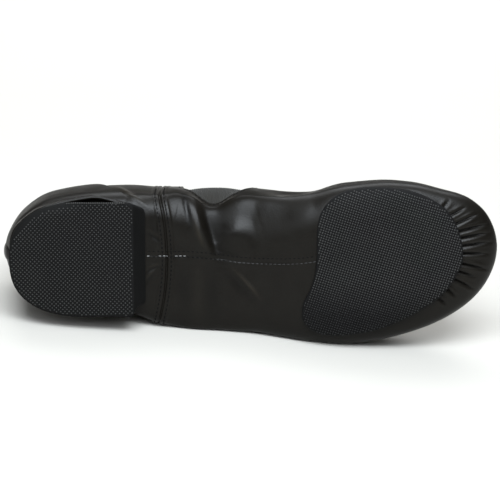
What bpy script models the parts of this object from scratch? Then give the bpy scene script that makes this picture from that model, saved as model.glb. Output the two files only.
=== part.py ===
# Left split-sole dance shoe, lying on its outer side with the sole to the front.
# Sizes are in millimetres in the shoe's own frame: x from the back of the heel to the toe, y to the outer
# side, z up from the tread. MM turns them into metres, and the empty lays the shoe down on the floor.
import math

import bmesh
import bpy
import numpy as np
from mathutils import Euler, Vector

MM = 0.001

# Lying pose: how far past upright the sole leans back, how far the toe end is raised, where the origin sits
LEAN = 8.0
PITCH = 4.6
FLOOR = 34.6
PLACE = (-124.33, -36.21)

# Leather, elastic and rubber
WALL = 1.8
GAP = 0.3
GORE_GAP = 0.6
COUNTER_GAP = 0.4
INSOLE_GAP = 0.6
GORE_THICK = 1.2
INSOLE_THICK = 2.0
COUNTER_THICK = 1.2
STRIP_THICK = 1.2
SOLE_THICK = 2.0

# Squareness of the outer side above its widest point, 2 is an ellipse
CROWN_OUTER = 2.0

# One row for each section across the shoe:
#   x, spine: place of the section and of its centre line
#   inner, outer: reach to the big-toe side and to the outer side, from the centre line
#   widest: height of the widest point; down, up: from there to the underside and to the crown
#   inner_low, outer_low, inner_high: squareness of the two lower corners and of the upper inner one
SECTION_COLUMNS = ("x", "spine", "inner", "outer", "widest", "down", "up",
                   "inner_low", "outer_low", "inner_high")
SECTIONS = (
    (1.4, 0.5, 0.0, 0.0, 24.0, 0.0, 0.0, 3.6, 3.6, 2.3),
    (9.0, 0.8, 17.2, 17.0, 24.0, 13.2, 50.0, 3.8, 3.8, 2.3),
    (23.0, 1.2, 26.2, 26.6, 24.0, 14.8, 58.0, 4.2, 4.2, 2.3),
    (49.0, 1.4, 30.4, 30.2, 24.0, 15.2, 61.0, 4.4, 4.4, 2.4),
    (64.0, 1.7, 31.2, 31.6, 23.0, 14.0, 62.0, 4.0, 4.0, 2.5),
    (79.0, 2.4, 30.8, 35.6, 20.5, 10.0, 62.0, 2.8, 4.4, 2.7),
    (95.0, 4.0, 32.2, 37.6, 20.5, 9.0, 60.0, 2.1, 4.4, 3.7),
    (110.0, 5.5, 33.6, 36.8, 21.0, 9.5, 59.0, 2.0, 4.0, 4.0),
    (125.0, 6.4, 34.4, 36.4, 20.0, 10.0, 58.5, 2.0, 3.4, 3.0),
    (140.0, 6.2, 34.6, 38.6, 18.0, 11.0, 54.5, 2.2, 3.2, 2.5),
    (156.0, 5.2, 35.4, 41.6, 16.0, 13.0, 47.5, 2.6, 3.2, 2.3),
    (174.0, 4.0, 39.0, 43.6, 14.5, 12.6, 38.5, 4.0, 3.2, 2.2),
    (191.0, 3.0, 39.9, 42.4, 14.0, 12.2, 30.5, 4.2, 3.4, 2.2),
    (206.0, 2.0, 38.2, 39.6, 14.0, 12.0, 24.5, 4.0, 3.4, 2.2),
    (222.0, 1.0, 33.6, 34.4, 14.0, 11.2, 18.5, 3.4, 3.2, 2.2),
    (234.0, -0.2, 28.8, 28.4, 14.2, 9.8, 14.0, 2.8, 2.8, 2.2),
    (243.0, -1.0, 21.6, 20.6, 14.6, 7.6, 9.6, 2.4, 2.4, 2.2),
    (251.0, -2.0, 0.0, 0.0, 15.0, 0.0, 0.0, 2.2, 2.2, 2.2),
)

# Height of the collar along the shoe; at the last row it meets the crown and the throat closes
COLLAR = ((0.0, 66.0), (18.0, 63.5), (44.0, 58.5), (68.0, 57.5), (92.0, 61.5), (112.0, 69.2), (122.0, 73.8),
          (127.0, 75.9), (131.0, 77.4))

# Broad folds in the soft side wall, a row each: x, height, push towards the centre, spread along and up
FOLD_COLUMNS = ("x", "z", "push", "along", "tall")
INNER_FOLDS = (
    (106.0, 24.0, 5.8, 9.0, 16.0),
    (124.0, 30.0, -1.2, 9.0, 14.0),
    (88.0, 26.0, -0.6, 8.0, 16.0),
)

# U-shaped cut for the elastic in side view, from the collar behind it round to the collar in front; the
# panel reaches past the cut by the lap, as far as the front limit
GORE_EDGE = ((89.5, 66.0), (90.2, 52.0), (91.8, 41.0), (96.0, 33.4), (102.5, 28.4), (110.0, 26.4),
             (117.0, 28.0), (122.2, 33.6), (125.6, 41.6), (127.0, 54.0), (126.2, 77.0))
GORE_STEPS = 17
GORE_LAP = 5.0
GORE_FRONT = 128.6

# Raised cross seam in front of the heel: place at the middle, bow back at the sides, width and height
SEAM_X = 82.9
SEAM_BOW = 4.5
SEAM_WIDE = 7.0
SEAM_HIGH = 0.6

# Heel counter along the shoe: upper edge, and lower edge where it rolls in over the heel block; where it
# leaves the upper, and how far its rim tucks in; the strip up the back seam
COUNTER_TOP = ((0.0, 52.0), (16.0, 52.0), (30.0, 51.0), (40.0, 48.5), (46.0, 44.5), (50.0, 37.5),
               (53.5, 29.0), (58.0, 19.0), (61.0, 15.6), (62.5, 14.8))
COUNTER_RIM = ((0.0, 5.0), (42.0, 5.0), (54.0, 7.0), (62.5, 11.5))
COUNTER_TURN = 14.4
COUNTER_TUCK = 0.2
COUNTER_ROWS = 10
STRIP_HALF = 4.2

# Heel block: back, breast and half width at the tread and at the lip, centre line and lip height
HEEL_TREAD = {"back": 3.6, "breast": 66.8, "half": 29.6, "centre": 1.2}
HEEL_LIP = {"back": 7.2, "breast": 72.0, "half": 25.6, "centre": 1.0}
HEEL_ROUND_X = 44.0
HEEL_SQUARE = 2.5
HEEL_LIP_Z = 10.0
HEEL_CORNER = 3.0

# Forefoot sole outline in plan, anticlockwise from the inner back corner, with the points its shape needs
FOREFOOT = ((159.1, -16.2), (162.2, -24.6), (168.6, -30.4), (177.0, -33.4), (190.6, -34.3), (207.3, -32.2),
            (222.2, -24.8), (229.8, -14.0), (232.8, -0.8), (230.4, 7.9), (223.2, 18.8), (208.8, 29.4),
            (191.1, 37.6), (172.0, 41.3), (159.4, 40.2), (152.4, 34.0), (152.0, 25.0), (156.4, 15.0),
            (158.7, 3.0))
OPENING_INSET = 7.0

# Net of the upper: stations between the two fans, steps of each fan, rows from seam to collar
HEEL_AXIS = 34.0
STATIONS = (34.0, 42.0, 50.0, 58.0, 66.0, 72.0, 75.5, 77.0, 80.5, 84.0, 86.0, 89.0, 95.0, 100.0, 106.0, 112.0,
            118.0, 122.0, 125.5, 128.0, 130.0, 131.5, 138.0, 146.0, 154.0, 163.0, 172.0, 182.0, 192.0, 203.0,
            214.0)
FAN_STEPS = 16
UPPER_ROWS = 18
FINE = 220
HEART = Vector((0.110, 0.003, 0.025))


def column(rows, names, name):
    return np.array([row[names.index(name)] for row in rows], dtype=float)


def smooth(xs, ys, x):
    # monotone cubic through the rows of a table
    xs, ys = np.asarray(xs, float), np.asarray(ys, float)
    step = np.diff(xs)
    slope = np.diff(ys) / step
    tangent = np.concatenate(([slope[0]], np.zeros(len(xs) - 2), [slope[-1]]))
    left, right = slope[:-1], slope[1:]
    same = left * right > 0.0
    near, far = 2.0 * step[1:] + step[:-1], step[1:] + 2.0 * step[:-1]
    blend = near / np.where(same, left, 1.0) + far / np.where(same, right, 1.0)
    tangent[1:-1] = np.where(same, (near + far) / np.where(same, blend, 1.0), 0.0)
    x = np.clip(x, xs[0], xs[-1])
    i = np.clip(np.searchsorted(xs, x) - 1, 0, len(step) - 1)
    t = (x - xs[i]) / step[i]
    return (ys[i] * (2 * t**3 - 3 * t**2 + 1) + ys[i + 1] * (3 * t**2 - 2 * t**3)
            + step[i] * (tangent[i] * (t**3 - 2 * t**2 + t) + tangent[i + 1] * (t**3 - t**2)))


def section(name, x):
    xs = column(SECTIONS, SECTION_COLUMNS, "x")
    values = column(SECTIONS, SECTION_COLUMNS, name)
    if name in ("inner", "outer", "down", "up"):
        # squares keep both ends of the shoe round
        return np.sqrt(np.maximum(smooth(xs, values**2, x), 1e-9))
    return smooth(xs, values, x)


def fullness(point):
    # below 1 inside the last, above 1 outside
    x, y, z = point[..., 0], point[..., 1], point[..., 2]
    across, high = y - section("spine", x), z - section("widest", x)
    inner = across < 0.0
    reach = np.where(inner, section("inner", x), section("outer", x))
    tall = np.where(high < 0.0, section("down", x), section("up", x))
    low = np.where(inner, section("inner_low", x), section("outer_low", x))
    power = np.where(high < 0.0, low, np.where(inner, section("inner_high", x), CROWN_OUTER))
    amount = np.minimum(np.abs(across) / reach, 9.0) ** power + np.minimum(np.abs(high) / tall, 9.0) ** power
    return np.where((x <= SECTIONS[0][0]) | (x >= SECTIONS[-1][0]), 9.0, amount)


def underside(x, y):
    across = y - section("spine", x)
    inner = across < 0.0
    reach = np.where(inner, section("inner", x), section("outer", x))
    power = np.where(inner, section("inner_low", x), section("outer_low", x))
    share = np.clip(np.abs(across) / reach, 0.0, 1.0)
    return section("widest", x) - section("down", x) * (1.0 - share**power) ** (1.0 / power)


def lying():
    return Euler((math.radians(-90.0 - LEAN), math.radians(-PITCH), 0.0), "XYZ").to_matrix()


def floor_side():
    # the way down to the floor, in the shoe's frame
    return -np.array(lying())[2]


def step_up(x, start, end):
    t = np.clip((x - start) / (end - start), 0.0, 1.0)
    return t * t * (3.0 - 2.0 * t)


def folded(points):
    # broad folds on the inner side, then the cross seam, then the flat where the leather lies on the floor
    x, y, z = points[..., 0], points[..., 1].copy(), points[..., 2]
    side = step_up(section("spine", x) - y, 8.0, 16.0)
    for row in INNER_FOLDS:
        fold = dict(zip(FOLD_COLUMNS, row))
        near = ((x - fold["x"]) / fold["along"]) ** 2 + ((z - fold["z"]) / fold["tall"]) ** 2
        y = y + side * fold["push"] * np.exp(-near)
    points = np.stack((x, y, z), axis=-1)
    middle = SEAM_X - SEAM_BOW * np.minimum(1.0, np.abs(y - 3.0) / 34.0) ** 2
    rise = SEAM_HIGH * (1.0 - step_up(np.abs(x - middle), SEAM_WIDE / 2 - 0.6, SEAM_WIDE / 2 + 0.6))
    away = points - np.stack((x, section("spine", x), section("widest", x)), axis=-1)
    away /= np.maximum(np.linalg.norm(away, axis=-1), 1e-6)[..., None]
    points = points + rise[..., None] * away
    down = floor_side()
    depth = points @ down - FLOOR + (COUNTER_THICK + COUNTER_GAP) * (1.0 - step_up(x, 60.0, 76.0))
    soft = 1.2
    press = np.where(depth > soft, depth, np.where(depth > -soft, (depth + soft) ** 2 / (4.0 * soft), 0.0))
    return points - press[..., None] * down


def plan(stations, steps):
    # origins and outward directions of the net's columns, once round from the inner side of the toe
    rows = [(x, 0.0, -1.0) for x in reversed(stations)]
    turns = [math.pi * i / steps for i in range(1, steps)]
    rows += [(stations[0], -math.sin(turn), -math.cos(turn)) for turn in turns]
    rows += [(x, 0.0, 1.0) for x in stations]
    rows += [(stations[-1], math.sin(turn), math.cos(turn)) for turn in turns]
    return np.array(rows)


def profiles(columns):
    # for each column the line on the last from the centre of the underside up to the crown
    angle = np.linspace(-math.pi / 2, math.pi / 2, FINE)
    x = columns[:, 0]
    origin = np.stack((x, section("spine", x), section("widest", x)), axis=-1)[:, None, :]
    way = np.stack((np.cos(angle)[None, :] * columns[:, 1:2], np.cos(angle)[None, :] * columns[:, 2:3],
                    np.sin(angle)[None, :] + 0.0 * columns[:, 1:2]), axis=-1)
    near, far = np.zeros(way.shape[:2]), np.full(way.shape[:2], 160.0)
    for _ in range(34):
        middle = (near + far) / 2
        inside = fullness(origin + way * middle[..., None]) < 1.0
        near, far = np.where(inside, middle, near), np.where(inside, far, middle)
    return folded(origin + way * near[..., None])


def spread(line, rows):
    # the same line with evenly spaced points
    run = np.concatenate(([0.0], np.cumsum(np.linalg.norm(np.diff(line, axis=0), axis=1))))
    even = np.linspace(0.0, run[-1], rows)
    return np.stack([np.interp(even, run, line[:, k]) for k in range(3)], axis=-1)


def crossing(line, heights):
    # first point, from the underside up, where the line passes the height given for its x
    above = line[:, 2] - heights
    for i in range(1, len(line)):
        if above[i] >= 0.0 > above[i - 1]:
            t = -above[i - 1] / (above[i] - above[i - 1])
            return i, line[i - 1] + t * (line[i] - line[i - 1])
    return None


def collar_height(x):
    return smooth(*zip(*COLLAR), x)


def cut_at(line, heights, keep_below=True):
    found = crossing(line, heights)
    if found is None:
        return line
    i, point = found
    return np.vstack((line[:i], point)) if keep_below else np.vstack((point, line[i:]))


def net(lines, closed):
    # a grid laid on the given lines, one line to a column, facing out
    lines = list(lines) + ([lines[0]] if closed else [])
    wide, tall = len(lines), len(lines[0])
    bm = bmesh.new()
    bmesh.ops.create_grid(bm, x_segments=wide - 1, y_segments=tall - 1, size=1.0)
    bm.verts.ensure_lookup_table()
    for i, vert in enumerate(bm.verts):
        vert.co = lines[i % wide][i // wide] * MM
    bmesh.ops.remove_doubles(bm, verts=bm.verts, dist=0.00002)
    bmesh.ops.recalc_face_normals(bm, faces=bm.faces)
    if sum(f.normal.dot(f.calc_center_median() - HEART) * f.calc_area() for f in bm.faces) < 0.0:
        bmesh.ops.reverse_faces(bm, faces=bm.faces)
    return bm


def thing(name, bm, collection, material=None):
    mesh = bpy.data.meshes.new(name)
    bm.to_mesh(mesh)
    bm.free()
    made = bpy.data.objects.new(name, mesh)
    collection.objects.link(made)
    if material:
        mesh.materials.append(material)
    return made


def finish(name, tone, rough):
    material = bpy.data.materials.new(name)
    material.use_nodes = True
    shader = material.node_tree.nodes["Principled BSDF"]
    shader.inputs["Base Color"].default_value = (*tone, 1.0)
    shader.inputs["Roughness"].default_value = rough
    return material


def applied(made, modifier):
    bpy.context.view_layer.objects.active = made
    bpy.ops.object.modifier_apply(modifier=modifier.name)


def thicken(made, thickness, offset):
    solid = made.modifiers.new("thickness", "SOLIDIFY")
    solid.thickness = thickness * MM
    solid.offset = offset
    solid.use_even_offset = True
    applied(made, solid)


def closed_curve(points, count):
    # even points along a smooth closed curve through the given ones
    points = np.array(points)
    before, after, later = np.roll(points, 1, 0), np.roll(points, -1, 0), np.roll(points, -2, 0)
    t = np.linspace(0.0, 1.0, 24, endpoint=False)[:, None]
    line = []
    for b, p, n, f in zip(before, points, after, later):
        bend, twist = 2 * b - 5 * p + 4 * n - f, 3 * p - b - 3 * n + f
        line.append(p + 0.5 * ((n - b) * t + bend * t**2 + twist * t**3))
    return even_loop(np.vstack(line), count)


def even_loop(line, count):
    line = np.vstack((line, line[:1]))
    run = np.concatenate(([0.0], np.cumsum(np.linalg.norm(np.diff(line, axis=0), axis=1))))
    even = np.linspace(0.0, run[-1], count, endpoint=False)
    return np.stack([np.interp(even, run, line[:, k]) for k in range(2)], axis=-1)


def inset(loop, distance):
    along = np.roll(loop, -1, 0) - np.roll(loop, 1, 0)
    along /= np.linalg.norm(along, axis=1)[:, None]
    return loop + distance * np.stack((-along[:, 1], along[:, 0]), axis=-1)


def heel_outline(sizes, count):
    back, breast, half, centre = (sizes[name] for name in ("back", "breast", "half", "centre"))
    turn = np.linspace(-math.pi / 2, math.pi / 2, 90)
    power = 2.0 / HEEL_SQUARE
    arc = np.stack((HEEL_ROUND_X - (HEEL_ROUND_X - back) * np.abs(np.cos(turn)) ** power,
                    centre - half * np.sign(np.sin(turn)) * np.abs(np.sin(turn)) ** power), axis=-1)
    corner = np.linspace(0.0, math.pi / 2, 9)
    low = np.stack((breast - HEEL_CORNER + HEEL_CORNER * np.sin(corner),
                    centre - half + HEEL_CORNER - HEEL_CORNER * np.cos(corner)), axis=-1)
    high = np.stack((low[::-1, 0], 2 * centre - low[::-1, 1]), axis=-1)
    return even_loop(np.vstack((low, high, arc)), count)


def pebble(name, rings, collection, material):
    # a closed solid from a ball whose rings of latitude are moved to the given loops, poles to loop centres
    count = len(rings[0])
    bm = bmesh.new()
    bmesh.ops.create_uvsphere(bm, u_segments=count, v_segments=len(rings) + 1, radius=1.0)
    for vert in bm.verts:
        ring = round(math.acos(max(-1.0, min(1.0, -vert.co.z))) / math.pi * (len(rings) + 1)) - 1
        turn = round(math.atan2(vert.co.y, vert.co.x) / (2 * math.pi) * count) % count
        if 0 <= ring < len(rings):
            vert.co = rings[ring][turn] * MM
        else:
            vert.co = np.mean(rings[0 if ring < 0 else -1], axis=0) * MM
    if bm.calc_volume(signed=True) < 0.0:
        bmesh.ops.reverse_faces(bm, faces=bm.faces)
    return thing(name, bm, collection, material)


def prism(name, loop, low, high, across, collection):
    # a plan outline raised along z, or with across a side outline drawn out along y
    bm = bmesh.new()
    bmesh.ops.create_circle(bm, cap_ends=True, segments=len(loop), radius=1.0)
    for vert, (a, b) in zip(bm.verts, loop):
        vert.co = (a * MM, low * MM, b * MM) if across else (a * MM, b * MM, low * MM)
    rise = bmesh.ops.extrude_face_region(bm, geom=list(bm.faces))
    top = [v for v in rise["geom"] if isinstance(v, bmesh.types.BMVert)]
    move = (0.0, (high - low) * MM, 0.0) if across else (0.0, 0.0, (high - low) * MM)
    bmesh.ops.translate(bm, verts=top, vec=move)
    bmesh.ops.recalc_face_normals(bm, faces=bm.faces)
    cutter = thing(name, bm, collection)
    cutter.hide_render = True
    cutter.display_type = "WIRE"
    return cutter


def cut_away(made, cutter):
    cut = made.modifiers.new("cut", "BOOLEAN")
    cut.operation = "DIFFERENCE"
    cut.solver = "EXACT"
    cut.object = cutter
    applied(made, cut)


def lifted(bm, distance):
    bm.normal_update()
    for vert, normal in [(v, v.normal.copy()) for v in bm.verts]:
        vert.co += normal * float(distance(vert.co.x / MM, vert.co.z / MM)) * MM


def make_upper(collection, cutters, leather):
    lines = []
    for line in profiles(plan(STATIONS, FAN_STEPS)):
        x = line[:, 0]
        if x[0] < COLLAR[-1][0]:
            line = cut_at(line, np.where(x < COLLAR[-1][0], collar_height(x), 999.0))
        lines.append(spread(line, UPPER_ROWS))
    bm = net(lines, True)
    upper = thing("upper", bm, collection, leather)
    thicken(upper, WALL, -1.0)
    ball = prism("ball_opening", inset(closed_curve(FOREFOOT, 40), OPENING_INSET), -4.0, 8.5, False, cutters)
    seat = dict(HEEL_LIP)
    for name, sign in (("back", 1.0), ("breast", -1.0), ("half", -1.0)):
        seat[name] += sign * OPENING_INSET
    heel = prism("heel_opening", heel_outline(seat, 40), 2.0, 15.0, False, cutters)
    edge = gore_outline(0.0)
    edge = np.vstack((edge[0] + (0.0, 40.0), edge, edge[-1] + (0.0, 40.0)))
    for cutter in (ball, heel, prism("gore_cut", edge, -70.0, 70.0, True, cutters)):
        cut_away(upper, cutter)
    return upper


def gore_outline(lap):
    # edge of the U-shaped cut; lap widens it on every side
    edge = np.array(GORE_EDGE)
    run = np.concatenate(([0.0], np.cumsum(np.linalg.norm(np.diff(edge, axis=0), axis=1))))
    even = np.linspace(0.0, run[-1], GORE_STEPS)
    line = np.stack([smooth(run, edge[:, k], even) for k in (0, 1)], axis=-1)
    way = np.gradient(line, axis=0)
    way /= np.linalg.norm(way, axis=1)[:, None]
    return line + lap * np.stack((way[:, 1], -way[:, 0]), axis=-1)


def make_gore(name, side, collection, elastic):
    # elastic panel behind the cut: from under its lower edge up to just below the collar
    outline = gore_outline(GORE_LAP)
    reach = np.maximum.accumulate(outline[:, 0])
    lines = []
    for x in np.linspace(reach[0] + 0.3, min(reach[-1], GORE_FRONT), 13):
        line = profiles(np.array([(x, 0.0, side)]))[0]
        high = float(collar_height(x)) - 0.8
        low = min(float(np.interp(x, reach, outline[:, 1])), high - 2.5)
        lines.append(spread(cut_at(cut_at(line, high), low, False), 8))
    bm = net(lines, False)
    lifted(bm, lambda x, z: -(WALL + GORE_GAP))
    gore = thing(name, bm, collection, elastic)
    thicken(gore, GORE_THICK, -1.0)
    return gore


def make_counter(collection, leather):
    front = COUNTER_TOP[-1][0]
    stations = [HEEL_AXIS, 40.0, 44.0, 47.0, 50.0, 53.0, 56.0, 59.0, front]
    turns = np.linspace(-90.0, 90.0, FAN_STEPS + 1)
    columns = [(x, 0.0, -1.0) for x in reversed(stations[1:])]
    columns += [(stations[0], -math.cos(math.radians(t)), math.sin(math.radians(t))) for t in turns]
    columns += [(x, 0.0, 1.0) for x in stations[1:]]
    lines = []
    for line in profiles(np.array(columns)):
        line = cut_at(cut_at(line, counter_top(line[:, 0])), COUNTER_TURN, False)
        lines.append(spread(np.vstack((rim(line[0]), line)), COUNTER_ROWS))
    bm = net(lines, False)
    lifted(bm, lambda x, z: COUNTER_GAP)
    counter = thing("heel_counter", bm, collection, leather)
    thicken(counter, COUNTER_THICK, 1.0)
    return counter


def counter_top(x):
    return smooth(*zip(*COUNTER_TOP), x)


def rim(start):
    # points from the counter's lower edge up to where it leaves the upper
    low = float(smooth(*zip(*COUNTER_RIM), start[0]))
    middle = np.array((max(start[0], HEEL_AXIS), section("spine", start[0]), start[2]))
    inward = (middle - start) / np.linalg.norm(middle - start)
    points = []
    for share in np.linspace(0.0, 1.0, 7)[:-1]:
        point = start + inward * COUNTER_TUCK * (1.0 - share) ** 2
        points.append((point[0], point[1], low + share * (start[2] - low)))
    return np.array(points)


def make_strip(collection, leather):
    # over the back seam: on the counter below, down on the upper above it
    turn = math.asin(STRIP_HALF / HEEL_AXIS)
    columns = [(HEEL_AXIS, -math.cos(t), math.sin(t)) for t in np.linspace(-turn, turn, 4)]
    lines = []
    for line in profiles(np.array(columns)):
        line = cut_at(cut_at(line, collar_height(line[:, 0]) - 1.2), COUNTER_TURN + 2.0, False)
        lines.append(spread(line, 16))
    bm = net(lines, False)
    over = COUNTER_THICK + COUNTER_GAP
    lifted(bm, lambda x, z: GAP + over * (1.0 - step_up(z, counter_top(x) + 1.0, counter_top(x) + 9.0)))
    strip = thing("back_strip", bm, collection, leather)
    thicken(strip, STRIP_THICK, 1.0)
    return strip


def make_insole(collection, cloth):
    lines = []
    for line in profiles(plan(STATIONS[::2], FAN_STEPS)):
        reach = np.linalg.norm(line[:, :2] - line[0, :2], axis=1)
        last = int(np.argmax((reach > 0.84 * reach.max()) | (line[:, 2] > line[0, 2] + 3.2)))
        lines.append(spread(line[: last + 1], 6))
    bm = net(lines, True)
    lifted(bm, lambda x, z: -(WALL + INSOLE_GAP))
    insole = thing("insole", bm, collection, cloth)
    thicken(insole, INSOLE_THICK, -1.0)
    return insole


def make_forefoot(collection, rubber):
    outline = closed_curve(FOREFOOT, 56)
    middle = outline.mean(axis=0)

    def ring(share, under):
        loop = middle + (outline - middle) * share
        leather = underside(loop[:, 0], loop[:, 1])
        z = np.maximum(leather - SOLE_THICK - GAP, 0.0) if under else leather - GAP
        return np.column_stack((loop, z))

    shares = (0.25, 0.5, 0.72, 0.88, 1.0)
    rings = [ring(s, True) for s in shares] + [ring(s, False) for s in reversed(shares)]
    return pebble("forefoot_sole", rings, collection, rubber)


def make_heel(collection, rubber):
    tread, lip = heel_outline(HEEL_TREAD, 56), heel_outline(HEEL_LIP, 56)

    def ring(loop, share, height):
        middle = loop.mean(axis=0)
        loop = middle + (loop - middle) * share
        top = np.minimum(underside(loop[:, 0], loop[:, 1]) - GAP, HEEL_LIP_Z)
        return np.column_stack((loop, top if height is None else np.full(len(loop), height)))

    rings = [ring(tread, 0.5, 0.0), ring(tread, 0.97, 0.0), ring(tread, 1.0, 0.8)]
    rings += [ring(lip, 1.0, HEEL_LIP_Z - 1.6), ring(lip, 0.985, None)]
    rings += [ring(lip, s, None) for s in (0.92, 0.8, 0.5)]
    return pebble("heel_block", rings, collection, rubber)


def main():
    for old in list(bpy.data.objects):
        bpy.data.objects.remove(old, do_unlink=True)
    parts = bpy.data.collections.new("split_sole_dance_shoe")
    cutters = bpy.data.collections.new("cutters")
    for group in (parts, cutters):
        bpy.context.scene.collection.children.link(group)
    leather = finish("leather", (0.012, 0.012, 0.014), 0.45)
    elastic = finish("elastic", (0.03, 0.03, 0.026), 0.8)
    cloth = finish("sock_cloth", (0.05, 0.048, 0.045), 0.9)
    rubber = finish("rubber", (0.05, 0.05, 0.052), 0.7)
    made = [make_upper(parts, cutters, leather), make_counter(parts, leather),
            make_strip(parts, leather),
            make_gore("gore_inner", -1.0, parts, elastic), make_gore("gore_outer", 1.0, parts, elastic),
            make_insole(parts, cloth), make_forefoot(parts, rubber), make_heel(parts, rubber)]
    pose = bpy.data.objects.new("lying_pose", None)
    parts.objects.link(pose)
    pose.rotation_euler = (math.radians(-90.0 - LEAN), math.radians(-PITCH), 0.0)
    pose.location = (PLACE[0] * MM, PLACE[1] * MM, FLOOR * MM)
    for piece in made:
        piece.parent = pose


main()
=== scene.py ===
import math

import bpy
import numpy as np
from mathutils import Euler, Matrix, Vector
from mathutils.bvhtree import BVHTree


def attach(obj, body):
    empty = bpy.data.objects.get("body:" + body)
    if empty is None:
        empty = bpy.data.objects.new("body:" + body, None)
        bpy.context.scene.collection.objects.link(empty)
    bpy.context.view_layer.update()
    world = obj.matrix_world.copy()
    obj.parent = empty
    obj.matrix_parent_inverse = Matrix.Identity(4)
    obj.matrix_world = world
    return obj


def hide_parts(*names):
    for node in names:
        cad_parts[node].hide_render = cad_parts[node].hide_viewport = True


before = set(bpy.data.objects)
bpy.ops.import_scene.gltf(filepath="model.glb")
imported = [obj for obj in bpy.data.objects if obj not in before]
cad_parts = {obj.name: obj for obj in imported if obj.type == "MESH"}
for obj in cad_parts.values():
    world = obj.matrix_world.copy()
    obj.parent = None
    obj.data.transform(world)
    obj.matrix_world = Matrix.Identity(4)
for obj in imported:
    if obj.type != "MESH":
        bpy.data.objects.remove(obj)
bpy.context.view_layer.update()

MM = 0.001

# Lying pose of the shoe, as in the solids
LEAN = 8.0
PITCH = 4.6
FLOOR = 34.6
PLACE = (-124.33, -36.21)
POSE = np.array(Euler((math.radians(-90.0 - LEAN), math.radians(-PITCH), 0.0), "XYZ").to_matrix())
ORIGIN = np.array((PLACE[0], PLACE[1], FLOOR))
DOWN = -POSE[2]

# View of the photograph, held to the shoe: tilt from square on to the sole, distance, picture width, the
# point under the arch that it is about, and how far right and up of that the camera stands
VIEW_TILT = math.radians(12.5)
VIEW_FAR = 1250.0
VIEW_WIDE = 251.9
VIEW_AIM = np.array((125.0, 0.0, 0.0))
VIEW_SHIFT = (0.15, 4.03)
VIEW_RIGHT = np.array((1.0, 0.0, 0.0))
VIEW_UP = np.array((0.0, -math.cos(VIEW_TILT), math.sin(VIEW_TILT)))
VIEW_BACK = np.array((0.0, -math.sin(VIEW_TILT), -math.cos(VIEW_TILT)))

# Thicknesses, and the gaps between the layers
WALL = 1.8
COUNTER_GAP = 0.4
COUNTER_THICK = 1.2
STRIP_THICK = 0.8
GORE_GAP = 0.6
GORE_THICK = 1.2
INSOLE_GAP = 0.6
INSOLE_THICK = 2.0
SOLE_THICK = 2.0
GAP = 0.3

# How softly the leather meets the floor, and where the room below it for the counter runs out
PRESS_SOFT = 1.2
COUNTER_ROOM = (60.0, 76.0)

# One row for each section across the shoe:
#   x, spine: place of the section and of its centre line
#   inner, outer: reach to the big-toe side and to the outer side, from the centre line
#   widest: height of the widest point; down, up: from there to the underside and to the crown
#   inner_low, outer_low, inner_high: squareness of the two lower corners and of the upper inner one
SECTION_COLUMNS = ("x", "spine", "inner", "outer", "widest", "down", "up",
                   "inner_low", "outer_low", "inner_high")
SECTIONS = (
    (1.4, 0.5, 0.0, 0.0, 24.0, 0.0, 0.0, 3.6, 3.6, 2.3),
    (9.0, 0.8, 17.2, 17.0, 24.0, 13.2, 50.0, 3.8, 3.8, 2.3),
    (23.0, 1.2, 26.2, 26.6, 24.0, 14.8, 58.0, 4.2, 4.2, 2.3),
    (49.0, 1.4, 30.4, 30.2, 24.0, 15.2, 61.0, 4.4, 4.4, 2.4),
    (64.0, 1.7, 31.2, 31.6, 23.0, 14.0, 62.0, 4.0, 4.0, 2.5),
    (79.0, 2.4, 30.8, 35.6, 20.5, 10.0, 62.0, 2.8, 4.4, 2.7),
    (95.0, 4.0, 32.2, 37.6, 20.5, 9.0, 60.0, 2.1, 4.4, 3.7),
    (110.0, 5.5, 33.6, 36.8, 21.0, 9.5, 59.0, 2.0, 4.0, 4.0),
    (125.0, 6.4, 34.4, 36.4, 20.0, 10.0, 58.5, 2.0, 3.4, 3.0),
    (140.0, 6.2, 34.6, 38.6, 18.0, 11.0, 54.5, 2.2, 3.2, 2.5),
    (156.0, 5.2, 35.4, 41.6, 16.0, 13.0, 47.5, 2.6, 3.2, 2.3),
    (174.0, 4.0, 39.0, 43.6, 14.5, 12.6, 38.5, 4.0, 3.2, 2.2),
    (191.0, 3.0, 39.9, 42.4, 14.0, 12.2, 30.5, 4.2, 3.4, 2.2),
    (206.0, 2.0, 38.2, 39.6, 14.0, 12.0, 24.5, 4.0, 3.4, 2.2),
    (222.0, 1.0, 33.6, 34.4, 14.0, 11.2, 18.5, 3.4, 3.2, 2.2),
    (234.0, -0.2, 28.8, 28.4, 14.2, 9.8, 14.0, 2.8, 2.8, 2.2),
    (243.0, -1.0, 21.6, 20.6, 14.6, 7.6, 9.6, 2.4, 2.4, 2.2),
    (251.0, -2.0, 0.0, 0.0, 15.0, 0.0, 0.0, 2.2, 2.2, 2.2),
)
CROWN_OUTER = 2.0

# Height of the collar along the shoe; at the last row it meets the crown and the throat closes
COLLAR = ((0.0, 66.0), (18.0, 63.5), (44.0, 58.5), (68.0, 57.5), (92.0, 61.5), (112.0, 69.2), (122.0, 73.8),
          (127.0, 75.9), (131.0, 77.4))
COLLAR_ROLL = 0.95

# Broad folds in the soft inner wall, a row each; in the last the leather settles beside the elastic
FOLD_COLUMNS = ("x", "z", "push", "along", "tall")
INNER_FOLDS = (
    (106.0, 24.0, 5.8, 9.0, 16.0),
    (124.0, 30.0, -1.2, 9.0, 14.0),
    (88.0, 26.0, -0.6, 8.0, 16.0),
    (149.0, 29.0, 2.6, 12.0, 11.0),
    (90.0, 52.0, 1.8, 7.0, 14.0),
)

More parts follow.
